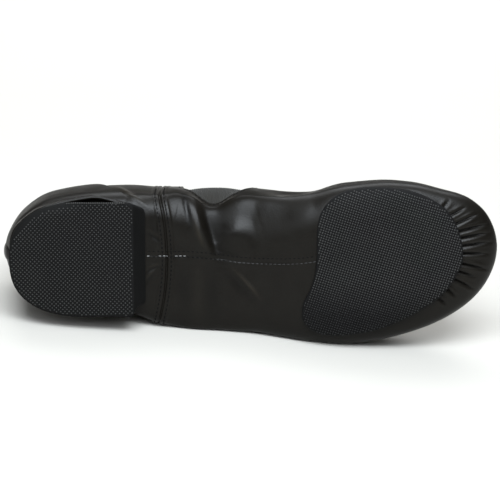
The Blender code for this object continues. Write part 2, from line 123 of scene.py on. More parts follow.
# U-shaped cut for the elastic in side view, and the bead round it; the panel reaches past the cut by the lap
# and ends at the front, and its ribs have a pitch and a height. No cut is lower than the foot
GORE_EDGE = ((89.5, 66.0), (90.2, 52.0), (91.8, 41.0), (96.0, 33.4), (102.5, 28.4), (110.0, 26.4),
             (117.0, 28.0), (122.2, 33.6), (125.6, 41.6), (127.0, 54.0), (126.2, 77.0))
GORE_LAP = 5.0
GORE_FRONT = 128.6
GORE_FOOT = 20.0
GORE_RIB = 1.1
GORE_RIB_HIGH = 0.17
BEAD = 0.65

# Cross seam in front of the heel: its bow, a padded band, the groove down its middle and the dents of two
# rows of stitches, each with its height or depth and its width
SEAM_X = 82.9
SEAM_BOW = 4.5
SEAM_ROW = 2.25
SEAM_BAND = (0.45, 2.9, 4.4)
SEAM_GROOVE = (1.15, 0.5)
SEAM_DENT = (0.3, 0.45)

# Heel counter: upper edge, lower edge with the cord in it, and the height where it turns in under the heel,
# all along the shoe; how far its lower edge is tucked in, or flared on the inner side. Strip up the back seam
COUNTER_TOP = ((0.0, 52.0), (16.0, 52.0), (30.0, 51.0), (40.0, 48.5), (46.0, 44.5), (50.0, 37.5),
               (53.5, 29.0), (58.0, 19.0), (61.0, 14.6), (62.5, 12.8))
COUNTER_RIM = ((0.0, 4.6), (20.0, 4.8), (28.0, 6.0), (38.0, 8.4), (46.0, 10.0), (52.0, 10.8), (57.0, 11.3),
               (62.5, 11.0))
RIM_CORD = 0.85
COUNTER_TURN = ((0.0, 14.4), (44.0, 14.4), (54.0, 12.2), (62.5, 11.6))
COUNTER_TUCK = 0.7
COUNTER_FLARE = 0.3
STRIP_HALF = 3.9

# Heel block at the tread and at the lip, where its round back starts and how square that is, and its corners
HEEL_TREAD = {"back": 3.6, "breast": 66.8, "half": 29.6, "centre": 1.2}
HEEL_LIP = {"back": 7.2, "breast": 72.0, "half": 25.6, "centre": 1.0}
HEEL_ROUND_X = 44.0
HEEL_SQUARE = 2.5
HEEL_LIP_Z = 10.0
HEEL_CORNER = 3.0

# Forefoot sole outline in plan, anticlockwise from the inner back corner
FOREFOOT = ((159.1, -16.2), (162.2, -24.8), (168.6, -31.0), (177.0, -34.2), (190.6, -35.3), (207.3, -33.2),
            (222.4, -25.4), (230.0, -14.2), (232.8, -0.8), (230.4, 7.9), (223.2, 18.8), (208.8, 29.4),
            (191.1, 37.6), (172.0, 41.3), (159.4, 40.2), (152.4, 34.0), (152.0, 25.0), (156.4, 15.0),
            (158.7, 3.0))

# Raised dots of the two treads: pitch, angle of the rows, radius at foot and top, height, depth of the root
HEEL_DOTS = {"pitch": 1.5, "angle": 42.7, "foot": 0.47, "top": 0.3, "high": 0.3}
FORE_DOTS = {"pitch": 1.29, "angle": 17.0, "foot": 0.5, "top": 0.38, "high": 0.3}
DOT_ROOT = 0.3

# Soft creases in the leather as they lie in the photograph's view: a row gives width, or the widths to the
# left and right, height (below zero a trough) and the points, each along the shoe and across it
CREASES = (
    # swellings under the cross seam
    (7.0, 2.0, ((66.0, -25.0), (76.0, -23.0), (87.0, -19.0), (97.0, -18.0))),
    (4.0, 1.1, ((79.0, -35.0), (87.0, -34.5), (96.0, -33.5))),
    # ridge in front of it with a fold on its back, and the dark trough ahead
    ((6.5, 2.6), 2.8, ((93.5, -36.0), (97.5, -24.0), (100.5, -14.0), (104.0, -6.0), (108.0, 6.0))),
    (1.2, -0.7, ((91.6, -36.0), (93.0, -26.0), (95.5, -14.0))),
    ((3.0, 10.0), -1.2, ((101.5, -30.0), (105.0, -18.0), (107.2, -9.0), (109.5, 0.0), (111.0, 7.0))),
    # bulge below the elastic, a bright line on the ridge, a valley, and the soft swell up to the sole
    (6.0, 2.4, ((106.5, -12.5), (117.0, -12.5), (127.5, -16.0))),
    (1.3, 0.5, ((95.5, -24.0), (99.0, -13.0), (101.2, -7.5), (106.0, -3.5))),
    (4.2, -0.6, ((131.5, -42.0), (128.0, -30.0), (125.0, -20.0), (119.0, -9.0))),
    (12.0, 2.05, ((118.0, -6.0), (134.0, -8.0), (146.0, -14.0), (160.0, -20.0), (180.0, -34.0))),
    # long slanting crease on the outer half
    (1.0, 0.6, ((114.0, 2.4), (123.6, 12.9), (133.5, 24.6))),
    (2.4, -0.5, ((111.5, 4.0), (121.0, 15.2), (130.0, 26.0))),
    # fold that runs back over the counter, and a dip behind the cross seam
    (1.0, 0.9, ((51.1, -38.0), (60.2, -35.1), (63.7, -33.2), (67.7, -31.0), (75.2, -24.5))),
    (2.2, -0.5, ((76.0, -26.0), (77.5, -6.0))),
    # wrinkles between the heel block and the cross seam
    (0.6, 0.35, ((71.5, 5.4), (81.0, 2.4))),
    (0.6, -0.3, ((71.3, 8.0), (81.0, 3.4))),
    (0.6, 0.35, ((71.3, 11.6), (79.5, 4.0))),
    (0.6, -0.3, ((71.3, 14.6), (78.6, 5.6))),
    (0.7, 0.3, ((72.5, -16.5), (82.0, -9.0))),
    (0.7, -0.3, ((72.5, -14.0), (82.0, -6.8))),
    # slack ripples on the outer half
    (3.4, -0.4, ((91.5, -2.0), (92.5, 38.0))),
    (3.4, 0.4, ((98.5, -2.0), (99.0, 38.0))),
    (3.6, -0.4, ((107.0, 0.0), (105.5, 38.0))),
)

# Gathers round the toe: inner end at the sole's edge and outer end, each along and across, and how strong
GATHERS = (
    (222.2, -25.8, 224.9, -29.6, 0.8), (226.3, -22.0, 232.3, -25.4, 1.0), (230.3, -18.2, 238.3, -22.0, 1.1),
    (230.9, -13.8, 243.7, -17.2, 1.2), (232.3, -10.3, 244.4, -12.7, 1.2), (232.6, -6.2, 245.0, -7.9, 1.2),
    (232.6, -2.2, 243.7, -2.2, 1.2), (232.3, 3.1, 243.7, 5.8, 1.2), (230.9, 7.2, 238.3, 9.6, 1.1),
    (228.9, 11.4, 237.6, 15.8, 1.1), (225.6, 16.9, 228.9, 20.0, 0.9), (221.5, 21.7, 224.2, 24.1, 0.8),
)

# Centre seam under the arch, in the photograph's view: path, stitch rows beside it, its band and groove, and
# where it comes up and runs out
CENTRE_SEAM = ((73.3, -1.4), (83.4, -1.2), (92.4, -1.2), (102.5, -0.5), (111.5, 0.5), (121.6, 1.9),
               (131.7, 2.4), (141.8, 2.6), (151.3, 2.2), (158.6, 1.2))
CENTRE_ROWS = (-2.1, 0.7)
CENTRE_BAND = (0.1, 2.6, 4.0)
CENTRE_GROOVE = (0.5, 0.36)
CENTRE_ENDS = ((72.0, 74.0), (158.0, 160.0))
# Share of the outer row that has lost its wax, and the tacks over its back end
DULL_SHARE = 0.48
BACK_TACKS = ((72.8, 75.4), (78.8, 84.8), (87.0, 92.6))

# Stitch rows at the collar and round the elastic: distance from the edge
COLLAR_ROW = 3.2
GORE_ROW = 1.9

# Centres that the heel and the toe turn about, and the middle of the shoe
HEEL_AXIS = 34.0
TOE_AXIS = 214.0
HEART = np.array((110.0, 3.0, 25.0))


# Form of the last

def laid(points):
    # from the shoe's millimetres to metres on the floor
    return (np.asarray(points, float) @ POSE.T + ORIGIN) * MM


def unit(ways):
    return ways / np.maximum(np.linalg.norm(ways, axis=-1, keepdims=True), 1e-9)


def round_turn(degrees):
    # sine and cosine
    return math.sin(math.radians(degrees)), math.cos(math.radians(degrees))


def run_of(points):
    # distance along a path, at each of its points
    return np.concatenate(([0.0], np.cumsum(np.linalg.norm(np.diff(points, axis=0), axis=1))))


def placed(at, run, values):
    # what belongs to a path's points, taken at distances along it
    return np.stack([np.interp(at, run, column) for column in np.asarray(values).T], axis=-1)


def finer(line, steps):
    # the same line with steps points in place of each one
    share = np.linspace(0.0, 1.0, steps, endpoint=False)[:, None]
    return np.vstack([a + (b - a) * share for a, b in zip(line[:-1], line[1:])])


def smooth(xs, ys, x):
    # monotone cubic through the rows of a table
    xs, ys = np.asarray(xs, float), np.asarray(ys, float)
    step = np.diff(xs)
    slope = np.diff(ys) / step
    tangent = np.concatenate(([slope[0]], np.zeros(len(xs) - 2), [slope[-1]]))
    left, right = slope[:-1], slope[1:]
    same = left * right > 0.0
    near, far = 2.0 * step[1:] + step[:-1], step[1:] + 2.0 * step[:-1]
    blend = near / np.where(same, left, 1.0) + far / np.where(same, right, 1.0)
    tangent[1:-1] = np.where(same, (near + far) / np.where(same, blend, 1.0), 0.0)
    x = np.clip(x, xs[0], xs[-1])
    i = np.clip(np.searchsorted(xs, x) - 1, 0, len(step) - 1)
    t = (x - xs[i]) / step[i]
    return (ys[i] * (2 * t**3 - 3 * t**2 + 1) + ys[i + 1] * (3 * t**2 - 2 * t**3)
            + step[i] * (tangent[i] * (t**3 - 2 * t**2 + t) + tangent[i + 1] * (t**3 - t**2)))


REACHES = ("inner", "outer", "down", "up")
CURVE_X = np.linspace(SECTIONS[0][0], SECTIONS[-1][0], 3001)
CURVES = {}
for index, title in enumerate(SECTION_COLUMNS):
    values = np.array([row[index] for row in SECTIONS])
    # squares keep both ends of the shoe round
    CURVES[title] = smooth([row[0] for row in SECTIONS], values**2 if title in REACHES else values, CURVE_X)


def section(name, x):
    value = np.interp(x, CURVE_X, CURVES[name])
    return np.sqrt(np.maximum(value, 1e-9)) if name in REACHES else value


def fullness(point):
    # below 1 inside the last, above 1 outside
    x, y, z = point[..., 0], point[..., 1], point[..., 2]
    across, high = y - section("spine", x), z - section("widest", x)
    inner = across < 0.0
    reach = np.where(inner, section("inner", x), section("outer", x))
    tall = np.where(high < 0.0, section("down", x), section("up", x))
    low = np.where(inner, section("inner_low", x), section("outer_low", x))
    power = np.where(high < 0.0, low, np.where(inner, section("inner_high", x), CROWN_OUTER))
    amount = np.minimum(np.abs(across) / reach, 9.0) ** power + np.minimum(np.abs(high) / tall, 9.0) ** power
    return np.where((x <= SECTIONS[0][0]) | (x >= SECTIONS[-1][0]), 9.0, amount)


def underside(x, y):
    across = y - section("spine", x)
    inner = across < 0.0
    reach = np.where(inner, section("inner", x), section("outer", x))
    power = np.where(inner, section("inner_low", x), section("outer_low", x))
    share = np.clip(np.abs(across) / reach, 0.0, 1.0)
    return section("widest", x) - section("down", x) * (1.0 - share**power) ** (1.0 / power)


def step_up(x, start, end):
    t = np.clip((x - start) / (end - start), 0.0, 1.0)
    return t * t * (3.0 - 2.0 * t)


def folded(points):
    # broad folds on the inner side
    x, y, z = points[..., 0], points[..., 1].copy(), points[..., 2]
    side = step_up(section("spine", x) - y, 8.0, 16.0)
    for row in INNER_FOLDS:
        fold = dict(zip(FOLD_COLUMNS, row))
        near = ((x - fold["x"]) / fold["along"]) ** 2 + ((z - fold["z"]) / fold["tall"]) ** 2
        y = y + side * fold["push"] * np.exp(-near)
    return np.stack((x, y, z), axis=-1)


def pressed(points):
    # flat where the leather lies on the floor, with room for the counter under the heel
    counter = (COUNTER_THICK + COUNTER_GAP) * (1.0 - step_up(points[..., 0], *COUNTER_ROOM))
    depth = points @ DOWN - FLOOR + counter
    easing = (depth + PRESS_SOFT) ** 2 / (4.0 * PRESS_SOFT)
    press = np.where(depth > PRESS_SOFT, depth, np.where(depth > -PRESS_SOFT, easing, 0.0))
    return points - press[..., None] * DOWN


def profiles(columns, fine):
    # for each column (x, way along, way across) the line on the last from the underside up to the crown
    columns = np.asarray(columns, float)
    angle = np.linspace(-math.pi / 2, math.pi / 2, fine)
    x = columns[:, 0]
    origin = np.stack((x, section("spine", x), section("widest", x)), axis=-1)[:, None, :]
    way = np.stack((np.cos(angle)[None, :] * columns[:, 1:2], np.cos(angle)[None, :] * columns[:, 2:3],
                    np.sin(angle)[None, :] + 0.0 * columns[:, 1:2]), axis=-1)
    near, far = np.zeros(way.shape[:2]), np.full(way.shape[:2], 160.0)
    for _ in range(24):
        middle = (near + far) / 2
        inside = fullness(origin + way * middle[..., None]) < 1.0
        near, far = np.where(inside, middle, near), np.where(inside, far, middle)
    return folded(origin + way * near[..., None])


def plan(stations, heel_turns, toe_turns=()):
    # columns once round from the inner side of the toe; turns in degrees from the inner side
    heel, toe = [round_turn(t) for t in heel_turns], [round_turn(t) for t in toe_turns]
    rows = [(x, 0.0, -1.0) for x in stations[::-1]]
    rows += [(stations[0], -back, -across) for back, across in heel]
    rows += [(x, 0.0, 1.0) for x in stations]
    rows += [(stations[-1], ahead, across) for ahead, across in toe]
    return np.array(rows)


def spread(line, rows, weight=None):
    # the same line with evenly spaced points, closer where the weight is high
    run = run_of(line)
    if weight is not None:
        run = np.concatenate(([0.0], np.cumsum(np.diff(run) * (weight[1:] + weight[:-1]) / 2)))
    return placed(np.linspace(0.0, run[-1], rows), run, line)


def table(rows, x):
    return smooth(*zip(*rows), x)


def collar_height(x):
    return table(COLLAR, x)


def cut_at(line, heights, keep_below=True):
    above = line[:, 2] - heights
    for i in range(1, len(line)):
        if above[i] >= 0.0 > above[i - 1]:
            t = -above[i - 1] / (above[i] - above[i - 1])
            point = line[i - 1] + t * (line[i] - line[i - 1])
            return np.vstack((line[:i], point)) if keep_below else np.vstack((point, line[i:]))
    return line


def closed_curve(points, count):
    # even points along a smooth closed curve through the given ones
    points = np.array(points)
    before, after, later = np.roll(points, 1, 0), np.roll(points, -1, 0), np.roll(points, -2, 0)
    t = np.linspace(0.0, 1.0, 24, endpoint=False)[:, None]
    line = []
    for b, p, n, f in zip(before, points, after, later):
        bend, twist = 2 * b - 5 * p + 4 * n - f, 3 * p - b - 3 * n + f
        line.append(p + 0.5 * ((n - b) * t + bend * t**2 + twist * t**3))
    return even_loop(np.vstack(line), count)


def even_loop(line, count):
    line = np.vstack((line, line[:1]))
    run = run_of(line)
    return placed(np.linspace(0.0, run[-1], count, endpoint=False), run, line)


def heel_outline(sizes, count):
    back, breast, half, centre = (sizes[name] for name in ("back", "breast", "half", "centre"))
    turn = np.linspace(-math.pi / 2, math.pi / 2, 90)
    power = 2.0 / HEEL_SQUARE
    arc = np.stack((HEEL_ROUND_X - (HEEL_ROUND_X - back) * np.abs(np.cos(turn)) ** power,
                    centre - half * np.sign(np.sin(turn)) * np.abs(np.sin(turn)) ** power), axis=-1)
    corner = np.linspace(0.0, math.pi / 2, 9)
    low = np.stack((breast - HEEL_CORNER + HEEL_CORNER * np.sin(corner),
                    centre - half + HEEL_CORNER - HEEL_CORNER * np.cos(corner)), axis=-1)
    high = np.stack((low[::-1, 0], 2 * centre - low[::-1, 1]), axis=-1)
    return even_loop(np.vstack((low, high, arc)), count)


def inside(loop, x, y):
    # how far inside a plan outline the points are, below zero outside
    deep = np.full(np.shape(x), 1e9)
    odd = np.zeros(np.shape(x), bool)
    for (ax, ay), (bx, by) in zip(loop, np.roll(loop, -1, 0)):
        wx, wy = bx - ax, by - ay
        t = np.clip(((x - ax) * wx + (y - ay) * wy) / (wx**2 + wy**2), 0.0, 1.0)
        deep = np.minimum(deep, np.hypot(x - ax - t * wx, y - ay - t * wy))
        if ay != by:
            odd ^= ((ay > y) != (by > y)) & (x < wx * (y - ay) / wy + ax)
    return np.where(odd, deep, -deep)


def gore_outline(lap=0.0):
    # edge of the U-shaped cut, open past the collar; lap widens it on every side
    edge = np.array(GORE_EDGE)
    run = run_of(edge)
    even = np.linspace(0.0, run[-1], 80)
    line = np.stack([smooth(run, edge[:, k], even) for k in (0, 1)], axis=-1)
    way = unit(np.gradient(line, axis=0))
    line = line + lap * np.stack((way[:, 1], -way[:, 0]), axis=-1)
    return np.vstack((line[0] + (0.0, 40.0), line, line[-1] + (0.0, 40.0)))


def flat_view(points):
    # where the points are seen in the photograph's view: along the shoe and across it
    x, y, z = points[..., 0], points[..., 1], points[..., 2]
    near = VIEW_FAR / (VIEW_FAR + z)
    return VIEW_AIM[0] + (x - VIEW_AIM[0]) * near, (y - math.tan(VIEW_TILT) * z) * near


def path_distance(path, u, v):
    # signed distance to an open path, and how far along it, from 0 to 1
    path = np.asarray(path, float)
    total = np.linalg.norm(np.diff(path, axis=0), axis=1).sum()
    best, share, run = np.full(np.shape(u), 1e9), np.zeros(np.shape(u)), 0.0
    for a, b in zip(path[:-1], path[1:]):
        way = b - a
        size = np.linalg.norm(way)
        t = np.clip(((u - a[0]) * way[0] + (v - a[1]) * way[1]) / size**2, 0.0, 1.0)
        off = np.hypot(u - a[0] - t * way[0], v - a[1] - t * way[1])
        side = np.sign((u - a[0]) * way[1] - (v - a[1]) * way[0])
        closer = off < np.abs(best)
        best = np.where(closer, np.where(side == 0.0, off, off * side), best)
        share = np.where(closer, (run + t * size) / total, share)
        run += size
    return best, share


# Making of meshes

def net_normals(lines, closed):
    # outward normals of a net of lines, one line to a column
    if closed:
        along = np.roll(lines, -1, 0) - np.roll(lines, 1, 0)
    else:
        along = np.gradient(lines, axis=0)
    normal = np.cross(along, np.gradient(lines, axis=1))
    size = np.linalg.norm(normal, axis=-1)
    normal = np.where(size[..., None] > 1e-9, normal / np.maximum(size, 1e-9)[..., None], (0.0, 0.0, -1.0))
    outward = np.sum(normal * (lines - HEART), axis=-1).sum()
    return normal if outward > 0.0 else -normal


def turns_out(lines, middle):
    # whether the faces of a net of lines look away from a middle
    turn = np.cross(np.gradient(lines, axis=0), np.gradient(lines, axis=1))
    return np.sum(turn * (lines - middle)) > 0.0


def place_net(name, lines, closed, faces_out=True, welded=True, wear_and_shade=None):
    # a grid primitive whose columns are laid on the given lines
    lines = np.asarray(lines, float)
    if closed:
        lines = np.concatenate((lines, lines[:1]))
    flipped = turns_out(lines, HEART) != faces_out
    if flipped:
        lines = lines[::-1]
    wide, tall = lines.shape[:2]
    bpy.ops.object.select_all(action="DESELECT")
    bpy.ops.mesh.primitive_grid_add(x_subdivisions=wide - 1, y_subdivisions=tall - 1, size=1.0)
    piece = bpy.context.object
    piece.name = piece.data.name = name
    piece.data.vertices.foreach_set("co", laid(lines.transpose(1, 0, 2).reshape(-1, 3)).ravel())
    piece.data.update()
    # the painted crease shade and highlight, kept on the points
    if wear_and_shade is not None:
        wear_and_shade = np.concatenate((wear_and_shade, wear_and_shade[:1])) if closed else wear_and_shade
        worn = piece.data.attributes.new("rubbed_and_shaded", "FLOAT", "POINT")
        worn.data.foreach_set("value", (wear_and_shade[::-1] if flipped else wear_and_shade).T.ravel())
    if welded:
        weld(piece)
    bpy.ops.object.shade_smooth()
    return piece


def weld(piece):
    bpy.context.view_layer.objects.active = piece
    bpy.ops.object.mode_set(mode="EDIT")
    bpy.ops.mesh.select_all(action="SELECT")
    bpy.ops.mesh.remove_doubles(threshold=0.000004)
    bpy.ops.object.mode_set(mode="OBJECT")


def select_faces(piece, marked):
    # leaves the piece in edit mode with the marked faces selected
    bpy.context.view_layer.objects.active = piece
    bpy.ops.object.mode_set(mode="EDIT")
    bpy.ops.mesh.select_mode(type="FACE")
    bpy.ops.mesh.select_all(action="DESELECT")
    bpy.ops.object.mode_set(mode="OBJECT")
    piece.data.polygons.foreach_set("select", marked)
    bpy.ops.object.mode_set(mode="EDIT")


def thicken(piece, thickness, offset, edge=0.0, even=True):
    # wall thickness on a sheet, with its rim rounded
    bpy.context.view_layer.objects.active = piece
    wall = piece.modifiers.new("wall", "SOLIDIFY")
    wall.thickness = thickness * MM
    wall.offset = offset
    wall.use_even_offset = even
    bpy.ops.object.modifier_apply(modifier=wall.name)
    if edge:
        rim = piece.modifiers.new("rim", "BEVEL")
        rim.width = edge * MM
        rim.segments = 3
        rim.limit_method = "ANGLE"
        rim.angle_limit = math.radians(50.0)
        bpy.ops.object.modifier_apply(modifier=rim.name)
    piece.select_set(True)
    bpy.ops.object.shade_smooth()


def dressed(piece, material, node=None):
    # the finish of a piece, the record's slot, and the solid that it stands for
    piece.data.materials.clear()
    piece.data.materials.append(material)
    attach(piece, "root")
    if node:
        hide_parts(node)


def many(name, pattern, places, frames, material):
    # copies of one small shape joined into a mesh: places in mm, frames as rows of three axes
    source = pattern.data
    corners = np.array([v.co for v in source.vertices])
    faces = [tuple(p.vertices) for p in source.polygons]
    points = np.einsum("nij,vi->nvj", frames, corners) + places[:, None, :]
    count = len(corners)
    joined = bpy.data.meshes.new(name)
    joined.from_pydata(laid(points.reshape(-1, 3)).tolist(), [],
                       [tuple(i + k * count for i in f) for k in range(len(places)) for f in faces])
    joined.polygons.foreach_set("use_smooth", np.ones(len(joined.polygons), bool))
    piece = bpy.data.objects.new(name, joined)
    bpy.context.scene.collection.objects.link(piece)
    dressed(piece, material)


def unwanted(piece):
    bpy.data.objects.remove(piece, do_unlink=True)


# Finishes

def tone(code):
    # sRGB hex to linear
    parts = [int(code[i:i + 2], 16) / 255.0 for i in (1, 3, 5)]
    return (*[c / 12.92 if c <= 0.04045 else ((c + 0.055) / 1.055) ** 2.4 for c in parts], 1.0)


def plug(tree, node, inputs):
    # each input takes a value or another node's output; i0, i1 and so on name it by its number
    for name, value in inputs.items():
        socket = node.inputs[int(name[1:])] if name[1:].isdigit() else node.inputs[name.replace("_", " ")]
        if isinstance(value, bpy.types.NodeSocket):
            tree.links.new(value, socket)
        else:
            socket.default_value = value


def add(tree, kind, settings=(), **inputs):
    # one node with its settings and links
    node = tree.nodes.new(kind)
    for name, value in dict(settings).items():
        setattr(node, name, value)
    plug(tree, node, inputs)
    return node


def finish(name, **sockets):
    material = bpy.data.materials.new(name)
    material.use_nodes = True
    tree = material.node_tree
    shader = tree.nodes["Principled BSDF"]
    plug(tree, shader, sockets)
    place = add(tree, "ShaderNodeTexCoord").outputs["Object"]
    return material, tree, shader, place


# Settings of the nodes that mix two colours or scale one
COLOURS = {"data_type": "RGBA"}
DIMMED = {"operation": "SCALE"}
# Metres from band to band of a wave texture at scale 1
WAVE = 0.314


def black_leather():
    # soft full-grain side leather, drummed and lightly plated: fine pores, a low satin sheen that rubbing has
    # raised under the foot and over the toes and left dull up the sides
    material, tree, shader, place = finish("soft_black_side_leather", Roughness=0.34, IOR=1.45,
                                           Specular_IOR_Level=0.26)
    pores = add(tree, "ShaderNodeTexVoronoi", {"feature": "SMOOTH_F1"}, Vector=place, Scale=1 / (0.8 * MM))
    cloud = add(tree, "ShaderNodeTexNoise", Vector=place, Scale=1 / (9.0 * MM), Detail=4.0).outputs["Fac"]
    fine = add(tree, "ShaderNodeTexNoise", Vector=place, Scale=1 / (0.35 * MM), Detail=2.0).outputs["Fac"]
    # painted tone from the creases: ridges lighter, rubbed wear with painted highlight, folds darker, painted
    # shade
    rubbed_and_shaded = add(tree, "ShaderNodeAttribute", {"attribute_name": "rubbed_and_shaded"}).outputs["Fac"]
    shade_gain = add(tree, "ShaderNodeMath", {"operation": "POWER"}, i0=8.0, i1=rubbed_and_shaded).outputs["Value"]
    dye = add(tree, "ShaderNodeMix", COLOURS, i0=cloud, i6=tone("#090705"), i7=tone("#100e0a")).outputs[2]
    worn = add(tree, "ShaderNodeVectorMath", DIMMED, i0=dye, Scale=shade_gain).outputs["Vector"]
    rough = add(tree, "ShaderNodeMapRange", Value=cloud, From_Min=0.3, From_Max=0.7, To_Min=0.34, To_Max=0.43)
    behind = add(tree, "ShaderNodeSeparateXYZ", Vector=place).outputs["Y"]
    below = add(tree, "ShaderNodeMapRange", Value=behind, From_Min=-19.0 * MM, From_Max=-13.0 * MM,
                To_Min=0.19, To_Max=0.05).outputs["Result"]
    above = add(tree, "ShaderNodeMapRange", Value=behind, From_Min=10.0 * MM, From_Max=26.0 * MM,
                To_Min=0.0, To_Max=0.15).outputs["Result"]
    sheen = add(tree, "ShaderNodeMath", {"operation": "ADD"}, i0=below, i1=above)
    grain = add(tree, "ShaderNodeMath", {"operation": "MULTIPLY_ADD"}, i0=fine, i1=0.5,
                i2=pores.outputs["Distance"])
    bump = add(tree, "ShaderNodeBump", Height=grain.outputs["Value"], Strength=0.3, Distance=0.12 * MM)
    plug(tree, shader, {"Base Color": worn, "Roughness": rough.outputs["Result"],
                        "Specular IOR Level": sheen.outputs["Value"], "Normal": bump.outputs["Normal"]})
    return material


def tread_rubber(name, low, high, rough, gloss, worn=None):
    # moulded rubber, matt from the mould's spark-eroded face, with bloom that greys it in patches
    material, tree, shader, place = finish(name, Roughness=rough, IOR=1.5, Specular_IOR_Level=gloss)
    bloom = add(tree, "ShaderNodeTexNoise", Vector=place, Scale=1 / (14.0 * MM), Detail=5.0).outputs["Fac"]
    grit = add(tree, "ShaderNodeTexNoise", Vector=place, Scale=1 / (0.25 * MM), Detail=2.0).outputs["Fac"]
    color = add(tree, "ShaderNodeMix", COLOURS, i0=bloom, i6=tone(low), i7=tone(high)).outputs[2]
    if worn:
        # painted shade: darker below a height, towards the floor, lighter above it
        height = add(tree, "ShaderNodeSeparateXYZ", Vector=place).outputs["Z"]
        painted_low_shade = add(tree, "ShaderNodeMapRange", Value=height, From_Min=worn[0] * MM, From_Max=worn[1] * MM,
                   To_Min=0.2, To_Max=1.0).outputs["Result"]
        color = add(tree, "ShaderNodeVectorMath", DIMMED, i0=color, Scale=painted_low_shade).outputs["Vector"]
    bump = add(tree, "ShaderNodeBump", Height=grit, Strength=0.3, Distance=0.06 * MM).outputs["Normal"]
    plug(tree, shader, {"Base Color": color, "Normal": bump})
    return material


def sewing_thread(name, low, high, rough, gloss):
    # bonded polyester thread: dark, with as much sheen on each turn as its wax leaves
    material, tree, shader, place = finish(name, Roughness=rough, IOR=1.5, Specular_IOR_Level=gloss)
    ply = add(tree, "ShaderNodeTexNoise", Vector=place, Scale=1 / (0.3 * MM), Detail=2.0).outputs["Fac"]
    color = add(tree, "ShaderNodeMix", COLOURS, i0=ply, i6=tone(low), i7=tone(high)).outputs[2]
    bump = add(tree, "ShaderNodeBump", Height=ply, Strength=0.5, Distance=0.05 * MM).outputs["Normal"]
    plug(tree, shader, {"Base Color": color, "Normal": bump})
    return material


def ribbed_elastic():
    # woven elastic webbing: matt black-olive yarn over rubber cores
    material, tree, shader, place = finish("woven_elastic_webbing", Roughness=0.8, IOR=1.45,
                                           Specular_IOR_Level=0.2, Sheen_Weight=0.06, Sheen_Roughness=0.5)
    yarn = add(tree, "ShaderNodeTexWave", {"bands_direction": "Y"}, Vector=place, Scale=WAVE / (0.7 * MM),
               Distortion=0.6, Detail=1.0).outputs["Fac"]
    wear = add(tree, "ShaderNodeTexNoise", Vector=place, Scale=1 / (3.0 * MM), Detail=3.0).outputs["Fac"]
    both = add(tree, "ShaderNodeMath", {"operation": "MULTIPLY"}, i0=yarn, i1=wear).outputs["Value"]
    color = add(tree, "ShaderNodeMix", COLOURS, i0=both, i6=tone("#0d0c09"), i7=tone("#211f17")).outputs[2]
    bump = add(tree, "ShaderNodeBump", Height=yarn, Strength=0.5, Distance=0.15 * MM).outputs["Normal"]
    plug(tree, shader, {"Base Color": color, "Normal": bump})
    return material


def woven_lining(name, low, high):
    # plain-weave cotton lining, matt
    material, tree, shader, place = finish(name, Roughness=0.9, IOR=1.45, Specular_IOR_Level=0.25,
                                           Sheen_Weight=0.2, Sheen_Roughness=0.5)
    warp, weft = (add(tree, "ShaderNodeTexWave", {"bands_direction": way}, Vector=place,
                      Scale=WAVE / (0.6 * MM)).outputs["Fac"] for way in ("X", "DIAGONAL"))
    weave = add(tree, "ShaderNodeMath", {"operation": "ADD"}, i0=warp, i1=weft).outputs["Value"]
    half = add(tree, "ShaderNodeMath", {"operation": "MULTIPLY"}, i0=weave, i1=0.5).outputs["Value"]
    color = add(tree, "ShaderNodeMix", COLOURS, i0=half, i6=tone(low), i7=tone(high)).outputs[2]
    bump = add(tree, "ShaderNodeBump", Height=half, Strength=0.4, Distance=0.12 * MM).outputs["Normal"]
    plug(tree, shader, {"Base Color": color, "Normal": bump})
    return material


LEATHER = black_leather()
HEEL_RUBBER = tread_rubber("moulded_heel_rubber", "#060606", "#0b0b0a", 0.75, 0.12)
SOLE_RUBBER = tread_rubber("moulded_sole_rubber", "#060606", "#0b0b0b", 0.75, 0.12)
HEEL_DOT_RUBBER = tread_rubber("scuffed_heel_dots", "#262625", "#31312f", 0.6, 0.24)
# sole dots with painted shade, darker towards the floor
SOLE_DOT_RUBBER_SHADED = tread_rubber("sole_dots_painted_shade", "#242423", "#2f2f2d", 0.6, 0.24, (18.0, 38.0))
THREAD = sewing_thread("dull_black_thread", "#030303", "#090909", 0.85, 0.12)
SHINY_THREAD = sewing_thread("waxed_black_thread", "#0c0c0c", "#1c1c1c", 0.4, 0.45)
# light grey thread for the back tacks, a painted highlight
TACK_THREAD_HIGHLIT = sewing_thread("grey_tack_thread_painted_highlight", "#3c3c3c", "#8c8c8a", 0.5, 0.5)
ELASTIC = ribbed_elastic()
LINING = woven_lining("cotton_drill_lining", "#1b1a19", "#34312f")
SOCK = woven_lining("cotton_sock_cloth", "#2a2826", "#4a4643")


# Upper

def seam_offset(x, y):
    # distance ahead of the middle of the cross seam
    return x - SEAM_X + SEAM_BOW * np.minimum(1.0, np.abs(y - 3.0) / 34.0) ** 2


def hump(off, width):
    return np.exp(-(off / width) ** 2)


def seam_profile(off, band, groove):
    # a padded band with a groove down its middle
    return band[0] * (1.0 - step_up(off, *band[1:])) - groove[0] * hump(off, groove[1])


